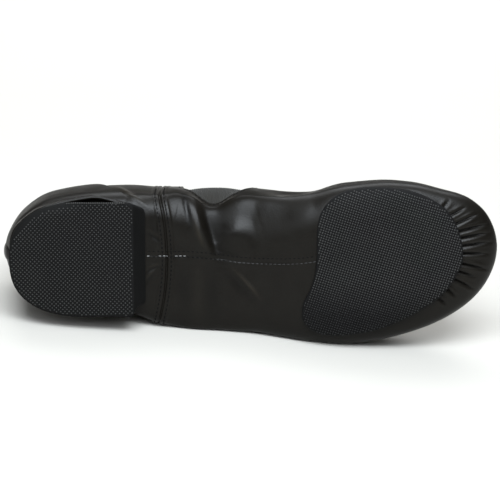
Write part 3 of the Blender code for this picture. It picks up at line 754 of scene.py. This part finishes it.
def creased(lines):
    # seams, creases and the gathers of the toe, raised along the normals, and a tone for each place: above
    # zero lighter, rubbed wear with painted highlight on the ridges, below zero darker, painted shade shut in
    # the folds
    normal = net_normals(lines, True)
    u, v = flat_view(lines)
    facing = step_up(np.sum(normal * VIEW_BACK, axis=-1), -0.15, 0.2)
    ahead = np.abs(seam_offset(lines[..., 0], lines[..., 1]))
    lift = seam_profile(ahead, SEAM_BAND, SEAM_GROOVE)
    lift -= SEAM_DENT[0] * hump(ahead - SEAM_ROW, SEAM_DENT[1])
    centre = seam_profile(np.abs(path_distance(CENTRE_SEAM, u, v)[0]), CENTRE_BAND, CENTRE_GROOVE)
    lift += centre * facing * step_up(u, *CENTRE_ENDS[0]) * (1.0 - step_up(u, *CENTRE_ENDS[1]))
    wear_and_shade = np.zeros(u.shape)
    for width, height, path in CREASES:
        off, share = path_distance(path, u, v)
        left, right = np.broadcast_to(width, 2)
        wide = np.where(off > 0.0, right, left)
        crease = facing * np.sin(math.pi * share) ** 1.5 * hump(off, wide)
        lift += height * crease
        # broad folds keep the leather's own colour, and the finest creases get the most painted shade and
        # highlight
        if left < 4.0:
            wear_and_shade += np.clip(height, -0.6, 0.6) * crease * (1.0 if left < 1.5 else 0.4)
    for x0, v0, x1, v1, strong in GATHERS:
        way = np.array((x1 - x0, v1 - v0))
        size = np.linalg.norm(way)
        way /= size
        run = ((u - x0) * way[0] + (v - v0) * way[1]) / size
        off = (u - x0) * way[1] - (v - v0) * way[0]
        fade = step_up(run, -0.6, -0.1) * (1.0 - step_up(run, 0.4, 1.3))
        # a sharp fold in a soft dip, with a ridge to either side
        off = np.abs(off)
        pleat = 0.22 * hump(off - 1.7, 0.9) - 0.55 * hump(off, 0.34) - 0.3 * np.exp(-off / 0.8)
        pleat *= strong * fade * facing
        lift += 1.4 * pleat
        # painted shade in the fold and painted highlight on the ridges beside it
        wear_and_shade += 0.5 * pleat
    return lines + lift[..., None] * normal, wear_and_shade


def heart_line(point):
    # the place on the shoe's middle line level with a point
    return np.array((max(point[0], HEEL_AXIS), section("spine", point[0]), point[2]))


def rolled_edge(line, radius, steps):
    # the last point of a line turned over inwards in a half round
    way = unit(line[-1] - line[-2])
    inward = heart_line(line[-1]) - line[-1]
    inward = unit(inward - way * (inward @ way))
    turn = np.linspace(0.0, math.pi, steps + 1)[1:]
    return np.array([line[-1] + radius * (math.sin(t) * way + (1.0 - math.cos(t)) * inward) for t in turn])


# Columns and rows of the leather's net, close where there are seams, creases and gathers
FINE_STATIONS = np.concatenate([np.arange(*part) for part in (
    (34.0, 72.0, 1.1), (72.0, 76.0, 0.7), (76.0, 89.0, 0.4), (89.0, 131.4, 0.7), (131.5, 214.1, 0.97))])
FINE_HEEL = np.linspace(0.0, 180.0, 62)[1:-1]
FINE_TOE = np.concatenate([np.arange(*part) for part in (
    (178.0, 150.0, -1.6), (150.0, 18.0, -0.66), (18.0, 1.0, -1.6))])[::-1]
FINE_ROWS = 118
LOW_ROWS = 0.74
ROLL_STEPS = 6


def skin_lines(stations, heel_turns, toe_turns, rows, fine, roll):
    # lines up the last to the collar, in two parts so that the rows run on past the throat
    forefoot, heel = closed_curve(FOREFOOT, 60), heel_outline(HEEL_TREAD, 60)
    low_rows = round(rows * LOW_ROWS)
    made = []
    for line in profiles(plan(stations, heel_turns, toe_turns), fine):
        x = line[:, 0]
        split = section("widest", x) + 0.42 * section("up", x)
        low, high = cut_at(line, split), cut_at(line, split, False)
        # fewer points where rubber covers the leather
        under = np.maximum(inside(forefoot, low[:, 0], low[:, 1]), inside(heel, low[:, 0], low[:, 1]))
        weight = 1.0 - 0.75 * step_up(np.where(low[:, 2] < 16.0, under, 0.0), 0.5, 9.0)
        if line[0, 0] < COLLAR[-1][0]:
            x = high[:, 0]
            high = cut_at(high, np.where(x < COLLAR[-1][0], collar_height(x) - roll, 999.0))
        made.append(np.vstack((spread(low, low_rows, weight), spread(high, rows - low_rows + 1)[1:])))
    return np.array(made)


def in_gore(points, lap):
    outline = gore_outline(lap)
    return np.where(points[..., 2] > GORE_FOOT, inside(outline, points[..., 0], points[..., 2]), -1.0)


def snapped(points, lap):
    # points moved onto the edge of the cut, in side view
    outline = gore_outline(lap)
    best, moved = np.full(len(points), 1e9), points.copy()
    for a, b in zip(outline[:-1], outline[1:]):
        t = np.clip(((points[:, 0] - a[0]) * (b[0] - a[0]) + (points[:, 2] - a[1]) * (b[1] - a[1]))
                    / ((b - a) @ (b - a)), 0.0, 1.0)
        px, pz = a[0] + t * (b[0] - a[0]), a[1] + t * (b[1] - a[1])
        off = np.hypot(points[:, 0] - px, points[:, 2] - pz)
        closer = off < best
        best = np.where(closer, off, best)
        moved[closer, 0], moved[closer, 2] = px[closer], pz[closer]
    return moved


def cut_gores(lines, lap):
    # the net with its points drawn to the edges of the two U cuts, and which of its faces are inside them
    lines = lines.copy()
    wide, tall = lines.shape[:2]
    pairs = lines + np.roll(lines, -1, 0)
    middle = (pairs[:, :-1] + pairs[:, 1:]) / 4
    gone = in_gore(middle, lap) > 0.0
    touched = {}
    for kind, faces in (("gone", gone), ("kept", ~gone)):
        touched[kind] = np.zeros((wide, tall), bool)
        for di in (0, 1):
            for dj in (0, 1):
                touched[kind][:, dj:tall - 1 + dj] |= np.roll(faces, di, 0)
    edge = touched["gone"] & touched["kept"]
    lines[edge] = snapped(lines[edge], lap)
    return lines, gone


def drop_faces(piece, marked):
    select_faces(piece, marked)
    bpy.ops.mesh.delete(type="FACE")
    bpy.ops.object.mode_set(mode="OBJECT")


def net_marks(lines, gone, faces_out):
    # the marks of cut_gores in the order of the faces that place_net makes
    flipped = turns_out(np.concatenate((lines, lines[:1])), HEART) != faces_out
    return (gone[::-1] if flipped else gone).T.ravel()


def make_upper():
    lines = skin_lines(FINE_STATIONS, FINE_HEEL, FINE_TOE, FINE_ROWS, 260, COLLAR_ROLL)
    lines, wear_and_shade = creased(lines)
    lines = skin_net = pressed(lines)
    rolled = []
    for line in lines:
        if line[0, 0] >= COLLAR[-1][0] or line[-1, 0] >= COLLAR[-1][0]:
            rolled.append(np.repeat(line[-1:], ROLL_STEPS, 0))
        else:
            rolled.append(rolled_edge(line, COLLAR_ROLL, ROLL_STEPS))
    lines, gone = cut_gores(np.concatenate((lines, np.array(rolled)), axis=1), 0.0)
    # with the painted crease shade and highlight on its points
    upper = place_net("upper_leather", lines, True, welded=False, wear_and_shade=np.pad(wear_and_shade, ((0, 0), (0, ROLL_STEPS))))
    drop_faces(upper, net_marks(lines, gone, True))
    weld(upper)
    dressed(upper, LEATHER, "upper")
    return skin_net


def make_lining():
    lines = skin_lines(FINE_STATIONS[::3], FINE_HEEL[::2], FINE_TOE[::4], 56, 200, COLLAR_ROLL)
    lines = pressed(lines)
    lines = lines - (WALL - 0.1) * net_normals(lines, True)
    lines, gone = cut_gores(lines, 0.4)
    lining = place_net("upper_lining", lines, True, faces_out=False, welded=False)
    drop_faces(lining, net_marks(lines, gone, False))
    weld(lining)
    dressed(lining, LINING)


class Skin:
    # rays onto the finished leather, in the shoe's millimetres
    def __init__(self, lines):
        wide, tall = lines.shape[:2]
        starts = [(i * tall + j, (i + 1) % wide * tall + j) for i in range(wide) for j in range(tall - 1)]
        faces = [(here, beside, beside + 1, here + 1) for here, beside in starts]
        self.tree = BVHTree.FromPolygons(lines.reshape(-1, 3).tolist(), faces)

    def hit(self, start, way):
        point, normal, _, _ = self.tree.ray_cast(Vector(start), Vector(way).normalized())
        if point is None:
            return None
        normal = np.array(normal)
        return np.array(point), normal if normal @ (np.array(point) - HEART) > 0.0 else -normal

    def seen(self, u, v):
        # the point on the leather at a place in the photograph's view
        eye = VIEW_AIM + VIEW_FAR * VIEW_BACK
        target = VIEW_AIM + (u - VIEW_AIM[0]) * VIEW_RIGHT - v * math.cos(VIEW_TILT) * VIEW_UP
        return self.hit(eye, target - eye)

    def side(self, x, z, side):
        return self.hit((x, float(section("spine", x)), z), (0.0, side, 0.0))


# Other pieces of the upper

def make_counter():
    front = COUNTER_TOP[-1][0]
    stations = np.arange(HEEL_AXIS, front, 0.7).tolist() + [front]
    lines = []
    for line in pressed(profiles(plan(stations, np.linspace(0.0, 180.0, 90)[1:-1]), 240)):
        line = cut_at(line, table(COUNTER_TOP, line[:, 0]))
        line = cut_at(line, table(COUNTER_TURN, line[:, 0]), False)
        lines.append(spread(np.vstack((counter_rim(line[0]), line)), 46))
    lines = np.array(lines)
    lines = lines + COUNTER_GAP * net_normals(lines, False)
    counter = place_net("heel_counter_leather", lines, False)
    thicken(counter, COUNTER_THICK, 1.0, 0.5, even=False)
    out = net_normals(lines, False)[:, 0]
    cord("heel_counter_rim", lines[:, 0] + 0.5 * COUNTER_THICK * out, out, RIM_CORD)
    dressed(counter, LEATHER, "heel_counter")
    return lines


def counter_rim(start):
    # from the counter's lower edge up to where it leaves the upper
    low = float(table(COUNTER_RIM, start[0]))
    inward = unit(heart_line(start) - start)
    inner = step_up(section("spine", start[0]) - start[1], -4.0, 22.0) * (1.0 - step_up(start[0], 48.0, 62.0))
    tuck = COUNTER_TUCK - (COUNTER_TUCK + COUNTER_FLARE) * inner
    points = []
    for share in np.linspace(0.0, 1.0, 9)[:-1]:
        point = start + inward * tuck * (1.0 - share) ** 2
        points.append((point[0], point[1], low + share * (start[2] - low)))
    return np.array(points)


def make_strip():
    half_turn = math.degrees(math.asin(STRIP_HALF / HEEL_AXIS))
    turns = [round_turn(t) for t in np.linspace(-half_turn, half_turn, 17)]
    foot = COUNTER_TURN[0][1] - 1.0
    lines = []
    for line in pressed(profiles([(HEEL_AXIS, -back, across) for across, back in turns], 240)):
        lines.append(spread(cut_at(cut_at(line, collar_height(line[:, 0]) - 1.2), foot, False), 70))
    lines = np.array(lines)
    # over the counter, then down onto the upper; tucked in at its foot and thinned at its sides
    edge = table(COUNTER_TOP, lines[..., 0])
    over = (COUNTER_THICK + COUNTER_GAP) * (1.0 - step_up(lines[..., 2], edge + 1.0, edge + 7.0))
    over -= 1.5 * (1.0 - step_up(lines[..., 2], foot, foot + 5.0))
    over -= 0.9 * np.abs(np.linspace(-1.0, 1.0, len(lines)))[:, None] ** 2.5
    lines = lines + (GAP - 0.2 + over)[..., None] * net_normals(lines, False)
    strip = place_net("back_strip_leather", lines, False)
    thicken(strip, STRIP_THICK, 1.0, 0.45)
    dressed(strip, LEATHER, "back_strip")
    return lines


def make_gore(name, side, node):
    outline = gore_outline(GORE_LAP)[1:-1]
    reach = np.maximum.accumulate(outline[:, 0])
    stations = np.linspace(reach[0] + 0.3, min(reach[-1], GORE_FRONT), 221)
    lines = []
    for line in pressed(profiles([(x, 0.0, side) for x in stations], 200)):
        x = line[0, 0]
        high = float(collar_height(x)) - 0.8
        low = min(float(np.interp(x, reach, outline[:, 1])), high - 2.5)
        lines.append(spread(cut_at(cut_at(line, high), low, False), 40))
    lines = np.array(lines)
    ribs = GORE_RIB_HIGH * np.cos(2 * math.pi * lines[..., 0] / GORE_RIB)
    lines = lines - (WALL + GORE_GAP - 0.5 - ribs)[..., None] * net_normals(lines, False)
    gore = place_net(name, lines, False)
    thicken(gore, GORE_THICK, -1.0, even=False)
    dressed(gore, ELASTIC, node)


def make_bead(name, skin, side):
    # turned edge of the leather round the cut
    found = []
    for x, z in finer(gore_outline(0.1)[1:-1], 4):
        got = skin.side(x, z, side) if z < collar_height(x) - 0.6 else None
        if got is not None:
            found.append(got[0] - got[1] * 0.5)
    cord(name, np.array(found), np.tile((0.0, side, 0.0), (len(found), 1)), BEAD)


def cord(name, path, out, radius):
    # a round leather edge along a path, closed to a point at both ends
    way = unit(np.gradient(path, axis=0))
    out = unit(out - way * np.sum(out * way, axis=1)[:, None])
    third = np.cross(way, out)
    place = np.arange(len(path))
    size = radius * np.sqrt(np.minimum(np.minimum(place, place[::-1]) / 5.0, 1.0))[:, None]
    turns = np.linspace(0.0, 2 * math.pi, 13)
    lines = np.array([path + size * (math.cos(t) * out + math.sin(t) * third) for t in turns])
    edge = place_net(name, lines, False, faces_out=turns_out(lines, HEART) == turns_out(lines, path))
    dressed(edge, LEATHER)


def make_insole():
    stations = np.arange(HEEL_AXIS, TOE_AXIS + 0.1, 2.0)
    turns = np.linspace(0.0, 180.0, 50)[1:-1]
    lines = []
    for line in profiles(plan(stations, turns, turns), 200):
        reach = np.linalg.norm(line[:, :2] - line[0, :2], axis=1)
        last = int(np.argmax((reach > 0.84 * reach.max()) | (line[:, 2] > line[0, 2] + 3.2)))
        lines.append(spread(line[: last + 1], 18))
    lines = np.array(lines)
    lines = lines - (WALL + INSOLE_GAP) * net_normals(lines, True)
    insole = place_net("sock_insole", lines, True)
    thicken(insole, INSOLE_THICK, -1.0, 0.6)
    dressed(insole, SOCK, "insole")


# Rubber

def ring_stack(name, rings, material, node):
    # a closed form from rings, each a loop of points; the first and last close to their middle
    rings = [np.repeat(rings[0].mean(0)[None], len(rings[0]), 0)] + list(rings)
    rings.append(np.repeat(rings[-1].mean(0)[None], len(rings[-1]), 0))
    lines = np.array(rings).transpose(1, 0, 2)
    around = np.concatenate((lines, lines[:1]))
    middle = lines.reshape(-1, 3).mean(0)
    piece = place_net(name, lines, True, faces_out=turns_out(around, HEART) == turns_out(around, middle))
    bpy.ops.object.shade_smooth_by_angle(angle=math.radians(40.0))
    dressed(piece, material, node)


def dot_places(loop, sizes, margin):
    # a square lattice of places inside an outline
    turn = math.radians(sizes["angle"])
    middle, reach = loop.mean(0), np.ptp(loop, axis=0).max() * 0.75
    steps = np.arange(-reach, reach, sizes["pitch"])
    a, b = (grid.ravel() for grid in np.meshgrid(steps, steps))
    x = middle[0] + a * math.cos(turn) - b * math.sin(turn)
    y = middle[1] + a * math.sin(turn) + b * math.cos(turn)
    keep = inside(loop, x, y) > margin
    return x[keep], y[keep]


def make_dots(name, sizes, x, y, z, normals, rubber):
    # one low moulded dot, then a copy at each place
    bpy.ops.object.select_all(action="DESELECT")
    bpy.ops.mesh.primitive_cone_add(vertices=8, radius1=sizes["foot"], radius2=sizes["top"],
                                    depth=sizes["high"] + DOT_ROOT, end_fill_type="NGON")
    dot = bpy.context.object
    select_faces(dot, [face.normal.z > 0.9 for face in dot.data.polygons])
    bpy.ops.mesh.inset(thickness=sizes["top"] * 0.45, depth=0.06)
    bpy.ops.object.mode_set(mode="OBJECT")
    turn = math.radians(sizes["angle"])
    first = np.array((math.cos(turn), math.sin(turn), 0.0))
    first = unit(first - normals * (normals @ first)[:, None])
    frames = np.stack((first, np.cross(normals, first), normals), axis=1)
    places = np.stack((x, y, z), axis=-1) + normals * (sizes["high"] - DOT_ROOT) / 2
    many(name, dot, places, frames, rubber)
    unwanted(dot)


def sole_face(x, y):
    # height of the forefoot tread
    return np.maximum(underside(x, y) - SOLE_THICK - GAP, 0.0)


def make_forefoot():
    outline = closed_curve(FOREFOOT, 240)
    middle = outline.mean(axis=0)

    def ring(share, drop):
        # drop from 0 at the leather to 1 at the tread
        loop = middle + (outline - middle) * share
        top = underside(loop[:, 0], loop[:, 1]) - GAP
        face = sole_face(loop[:, 0], loop[:, 1])
        return np.column_stack((loop, top + drop * (face - top)))

    shares = np.concatenate((np.linspace(0.05, 0.9, 26), (0.93, 0.96, 0.978)))
    rings = [ring(s, 1.0) for s in shares]
    rings += [ring(s, drop) for s, drop in ((0.988, 0.97), (0.995, 0.86), (1.0, 0.65), (1.0, 0.0))]
    rings += [ring(s, 0.0) for s in (0.9, 0.6, 0.3)]
    ring_stack("forefoot_sole_rubber", rings, SOLE_RUBBER, "forefoot_sole")
    x, y = dot_places(outline, FORE_DOTS, 0.75)
    step = 0.4
    slope_x = (sole_face(x + step, y) - sole_face(x - step, y)) / (2 * step)
    slope_y = (sole_face(x, y + step) - sole_face(x, y - step)) / (2 * step)
    normals = unit(np.stack((slope_x, slope_y, -np.ones_like(x)), axis=-1))
    make_dots("forefoot_tread_dots", FORE_DOTS, x, y, sole_face(x, y), normals, SOLE_DOT_RUBBER_SHADED)


def make_heel():
    tread, lip = heel_outline(HEEL_TREAD, 220), heel_outline(HEEL_LIP, 220)

    def worn(x, y):
        # how much the inner back edge has been worn away
        place = step_up(-y, 2.0, 14.0) * (1.0 - step_up(x, 28.0, 46.0))
        return 2.2 * place * (1.0 - step_up(inside(tread, x, y), -1.0, 6.0)) ** 2

    def ring(loop, share, height=None):
        # at a height above the tread, or without one against the leather
        centre = loop.mean(axis=0)
        loop = centre + (loop - centre) * share
        top = np.minimum(underside(loop[:, 0], loop[:, 1]) - GAP, HEEL_LIP_Z)
        low = (height or 0.0) + worn(loop[:, 0], loop[:, 1])
        return np.column_stack((loop, top if height is None else low))

    rings = [ring(tread, s, 0.0) for s in np.linspace(0.08, 0.96, 24)]
    rings += [ring(tread, s, high) for s, high in ((0.975, 0.05), (0.99, 0.28), (1.0, 0.8))]
    for share in (0.12, 0.3, 0.5, 0.7, 0.9, 1.0):
        height = 0.8 + share * (HEEL_LIP_Z - 2.4) + (1.0 - share) * worn(*tread.T)
        rings.append(np.column_stack((tread + (lip - tread) * share, height)))
    rings += [ring(lip, s) for s in (0.985, 0.92, 0.8, 0.5)]
    ring_stack("heel_block_rubber", rings, HEEL_RUBBER, "heel_block")
    x, y = dot_places(tread, HEEL_DOTS, 1.0)
    left = worn(x, y) < 0.7
    # one close row along the straight inner edge
    edge = tread[(tread[:, 1] < -15.0) & (tread[:, 0] > 33.0) & (tread[:, 0] < 62.0)]
    edge = edge[np.argsort(edge[:, 0])]
    run = run_of(edge)
    row = placed(np.arange(0.0, run[-1], 1.1), run, edge)
    x, y = np.concatenate((x[left], row[:, 0])), np.concatenate((y[left], row[:, 1] + 0.35))
    normals = np.tile(np.array((0.0, 0.0, -1.0)), (len(x), 1))
    make_dots("heel_tread_dots", HEEL_DOTS, x, y, worn(x, y), normals, HEEL_DOT_RUBBER)


# Sewing

def along(points, normals, pitch):
    # even places on a path, with its direction and the surface's normal there
    run = run_of(points)
    even = np.arange(pitch / 2, run[-1], pitch)
    way = unit(placed(even + 0.3, run, points) - placed(even - 0.3, run, points))
    normal = placed(even, run, normals)
    return placed(even, run, points), way, unit(normal - way * np.sum(way * normal, axis=1)[:, None])


def stitched(name, rows, thread, pitch=2.3, length=1.4, thick=0.55, sunk=0.04):
    # lock stitches along rows of (points, normals)
    bpy.ops.object.select_all(action="DESELECT")
    bpy.ops.mesh.primitive_uv_sphere_add(segments=8, ring_count=6, radius=0.5,
                                         rotation=(0.0, math.pi / 2, 0.0))
    bpy.ops.object.transform_apply(location=False, rotation=True, scale=False)
    stitch = bpy.context.object
    stitch.scale = (length, thick, thick * 0.9)
    bpy.ops.object.transform_apply(location=False, rotation=False, scale=True)
    places, frames = [], []
    for points, normals in rows:
        if len(points) < 2:
            continue
        place, way, normal = along(points, normals, pitch)
        places.append(place - normal * sunk)
        frames.append(np.stack((way, np.cross(normal, way), normal), axis=1))
    many(name, stitch, np.vstack(places), np.vstack(frames), thread)
    unwanted(stitch)


def hits(found):
    found = [f for f in found if f is not None]
    return [f[0] for f in found], [f[1] for f in found]


def sew_cross_seam(skin):
    rows = []
    for offset in (-SEAM_ROW, SEAM_ROW):
        found = []
        for turn in np.linspace(-205.0, 25.0, 240):
            up, across = round_turn(turn)
            x = SEAM_X + offset - 2.0
            for _ in range(3):
                middle = (x, float(section("spine", x)), float(section("widest", x)))
                got = skin.hit(middle, (0.0, across, up))
                if got is None:
                    break
                x = float(x + offset - seam_offset(x, got[0][1]))
            if got is not None and got[0][2] < collar_height(x) - 3.5:
                found.append(got)
        rows.append(hits(found))
    stitched("cross_seam_stitches", rows, THREAD, thick=0.62, sunk=-0.1)


def sew_centre_seam(skin):
    u = np.linspace(CENTRE_SEAM[0][0], CENTRE_SEAM[-1][0], 120)
    inner, (points, normals) = (hits([skin.seen(a, b + offset) for a, b in zip(u, table(CENTRE_SEAM, u))])
                                for offset in CENTRE_ROWS)
    dull = int(len(points) * DULL_SHARE)
    stitched("centre_seam_stitches", [inner, (points[:dull], normals[:dull])], THREAD)
    stitched("centre_seam_waxed_stitches", [(points[dull:], normals[dull:])], SHINY_THREAD,
             length=1.7, thick=0.45)
    # back tacks in the light grey thread, a painted highlight
    tacks = [hits([skin.seen(a, -0.9) for a in np.linspace(*ends, 12)]) for ends in BACK_TACKS]
    stitched("back_tack_stitches", tacks, TACK_THREAD_HIGHLIT, pitch=2.1, length=1.6, thick=0.42, sunk=-0.35)


def sew_gores(skin):
    edge = [(x, z) for x, z in finer(gore_outline(GORE_ROW), 60) if GORE_FOOT < z < collar_height(x) - 3.0]
    rows = [hits([skin.side(x, z, side) for x, z in edge]) for side in (-1.0, 1.0)]
    stitched("gore_stitches", rows, THREAD)


def sew_collar(skin):
    rows = []
    for side in (-1.0, 1.0):
        for ends in ((HEEL_AXIS, 84.5), (125.5, 127.0)):
            rows.append(hits([skin.side(x, float(collar_height(x)) - COLLAR_ROW, side)
                              for x in np.linspace(*ends, 70)]))
    around = []
    for turn in np.linspace(0.0, 180.0, 90):
        back, across = round_turn(turn)
        z = 60.0
        for _ in range(3):
            got = skin.hit((HEEL_AXIS, float(section("spine", HEEL_AXIS)), z), (-back, -across, 0.0))
            if got is None:
                break
            z = float(collar_height(got[0][0])) - COLLAR_ROW
        around.append(got)
    stitched("collar_stitches", rows + [hits(around)], THREAD, sunk=0.2)


def sew_counter(counter_lines, strip_lines):
    # along the counter's upper edge, and up both sides of the strip
    normals = net_normals(counter_lines, False)
    points, ways = [], []
    for line, normal in zip(counter_lines + COUNTER_THICK * normals, normals):
        run = run_of(line)
        at = run[-1] - min(2.0, run[-1] * 0.4)
        points.append(placed(at, run, line))
        ways.append(placed(at, run, normal))
    normals = net_normals(strip_lines, False)
    face = strip_lines + STRIP_THICK * normals
    rows = [(points, ways)] + [(face[i], normals[i]) for i in (3, -4)]
    stitched("counter_stitches", rows, THREAD, sunk=0.2)


# Stage

def make_camera():
    eye = VIEW_AIM + VIEW_FAR * VIEW_BACK + VIEW_SHIFT[0] * VIEW_RIGHT + VIEW_SHIFT[1] * VIEW_UP
    lens = bpy.data.cameras.new("view")
    lens.lens = lens.sensor_width * VIEW_FAR / VIEW_WIDE
    lens.clip_start, lens.clip_end = 0.05, 20.0
    camera = bpy.data.objects.new("view", lens)
    bpy.context.scene.collection.objects.link(camera)
    turn = Matrix([list(POSE @ axis) for axis in (VIEW_RIGHT, VIEW_UP, VIEW_BACK)]).transposed().to_4x4()
    camera.matrix_world = Matrix.Translation(laid(eye)) @ turn
    bpy.context.scene.camera = camera


# Soft boxes: name, place, point that it faces, sides, watts, colour and spread in degrees
ABOUT_SHOE = (0.0, 0.0, 0.03)
LAMPS = (
    ("softbox_above", (0.0, -0.02, 1.0), (0.0, -0.02, 0.0), (1.2, 0.75), 3.2, (0.96, 0.98, 1.0), 180.0),
    ("softbox_back", (0.0, 0.83, 1.0), (0.0, 0.83, 0.0), (1.2, 0.95), 17.0, (0.93, 0.965, 1.0), 180.0),
    ("softbox_front", (0.02, -0.66, 1.02), ABOUT_SHOE, (1.0, 0.5), 29.0, (0.87, 0.935, 1.0), 180.0),
    ("softbox_low", (-0.05, -0.98, 0.72), ABOUT_SHOE, (1.3, 0.42), 5.5, (0.86, 0.93, 1.0), 180.0),
    ("softbox_left", (-0.95, -0.85, 0.36), ABOUT_SHOE, (0.5, 0.4), 1.6, (0.9, 0.95, 1.0), 180.0),
    ("floor_wash", (0.0, 1.35, 1.0), (0.0, 1.3, 0.0), (2.4, 0.6), 14.0, (1.0, 1.0, 1.0), 90.0),
)
FLOOR_DROP = 0.4
WORLD_LIGHT = 0.18


def lamp(name, place, aim, size, power, color, spread):
    light = bpy.data.lights.new(name, "AREA")
    light.shape = "RECTANGLE"
    light.size, light.size_y = size
    light.energy, light.color, light.spread = power, color, math.radians(spread)
    holder = bpy.data.objects.new(name, light)
    bpy.context.scene.collection.objects.link(holder)
    holder.location = place
    holder.rotation_euler = (Vector(aim) - Vector(place)).to_track_quat("-Z", "Y").to_euler()


def make_stage():
    bpy.ops.object.select_all(action="DESELECT")
    bpy.ops.mesh.primitive_plane_add(size=6.0, location=(0.0, 0.0, -FLOOR_DROP * MM))
    floor = bpy.context.object
    floor.name = "floor"
    # matt white card, a little uneven in tone
    material, tree, shader, place = finish("matt_white_board", Roughness=0.85, Specular_IOR_Level=0.2)
    cloud = add(tree, "ShaderNodeTexNoise", Vector=place, Scale=3.0, Detail=2.0).outputs["Fac"]
    color = add(tree, "ShaderNodeMix", COLOURS, i0=cloud, i6=tone("#b1aea8"), i7=tone("#b6b3ad")).outputs[2]
    plug(tree, shader, {"Base Color": color})
    floor.data.materials.append(material)
    for row in LAMPS:
        lamp(*row)
    world = bpy.data.worlds.new("studio")
    world.use_nodes = True
    plug(world.node_tree, world.node_tree.nodes["Background"],
         {"Color": (1.0, 1.0, 1.0, 1.0), "Strength": WORLD_LIGHT})
    bpy.context.scene.world = world
    bpy.context.scene.view_settings.view_transform = "Standard"


make_camera()
skin_net = make_upper()
make_lining()
counter_net = make_counter()
strip_net = make_strip()
make_gore("gore_inner_elastic", -1.0, "gore_inner")
make_gore("gore_outer_elastic", 1.0, "gore_outer")
make_insole()
make_forefoot()
make_heel()
skin = Skin(skin_net)
make_bead("gore_inner_edge", skin, -1.0)
make_bead("gore_outer_edge", skin, 1.0)
sew_cross_seam(skin)
sew_centre_seam(skin)
sew_gores(skin)
sew_collar(skin)
sew_counter(counter_net, strip_net)
make_stage()
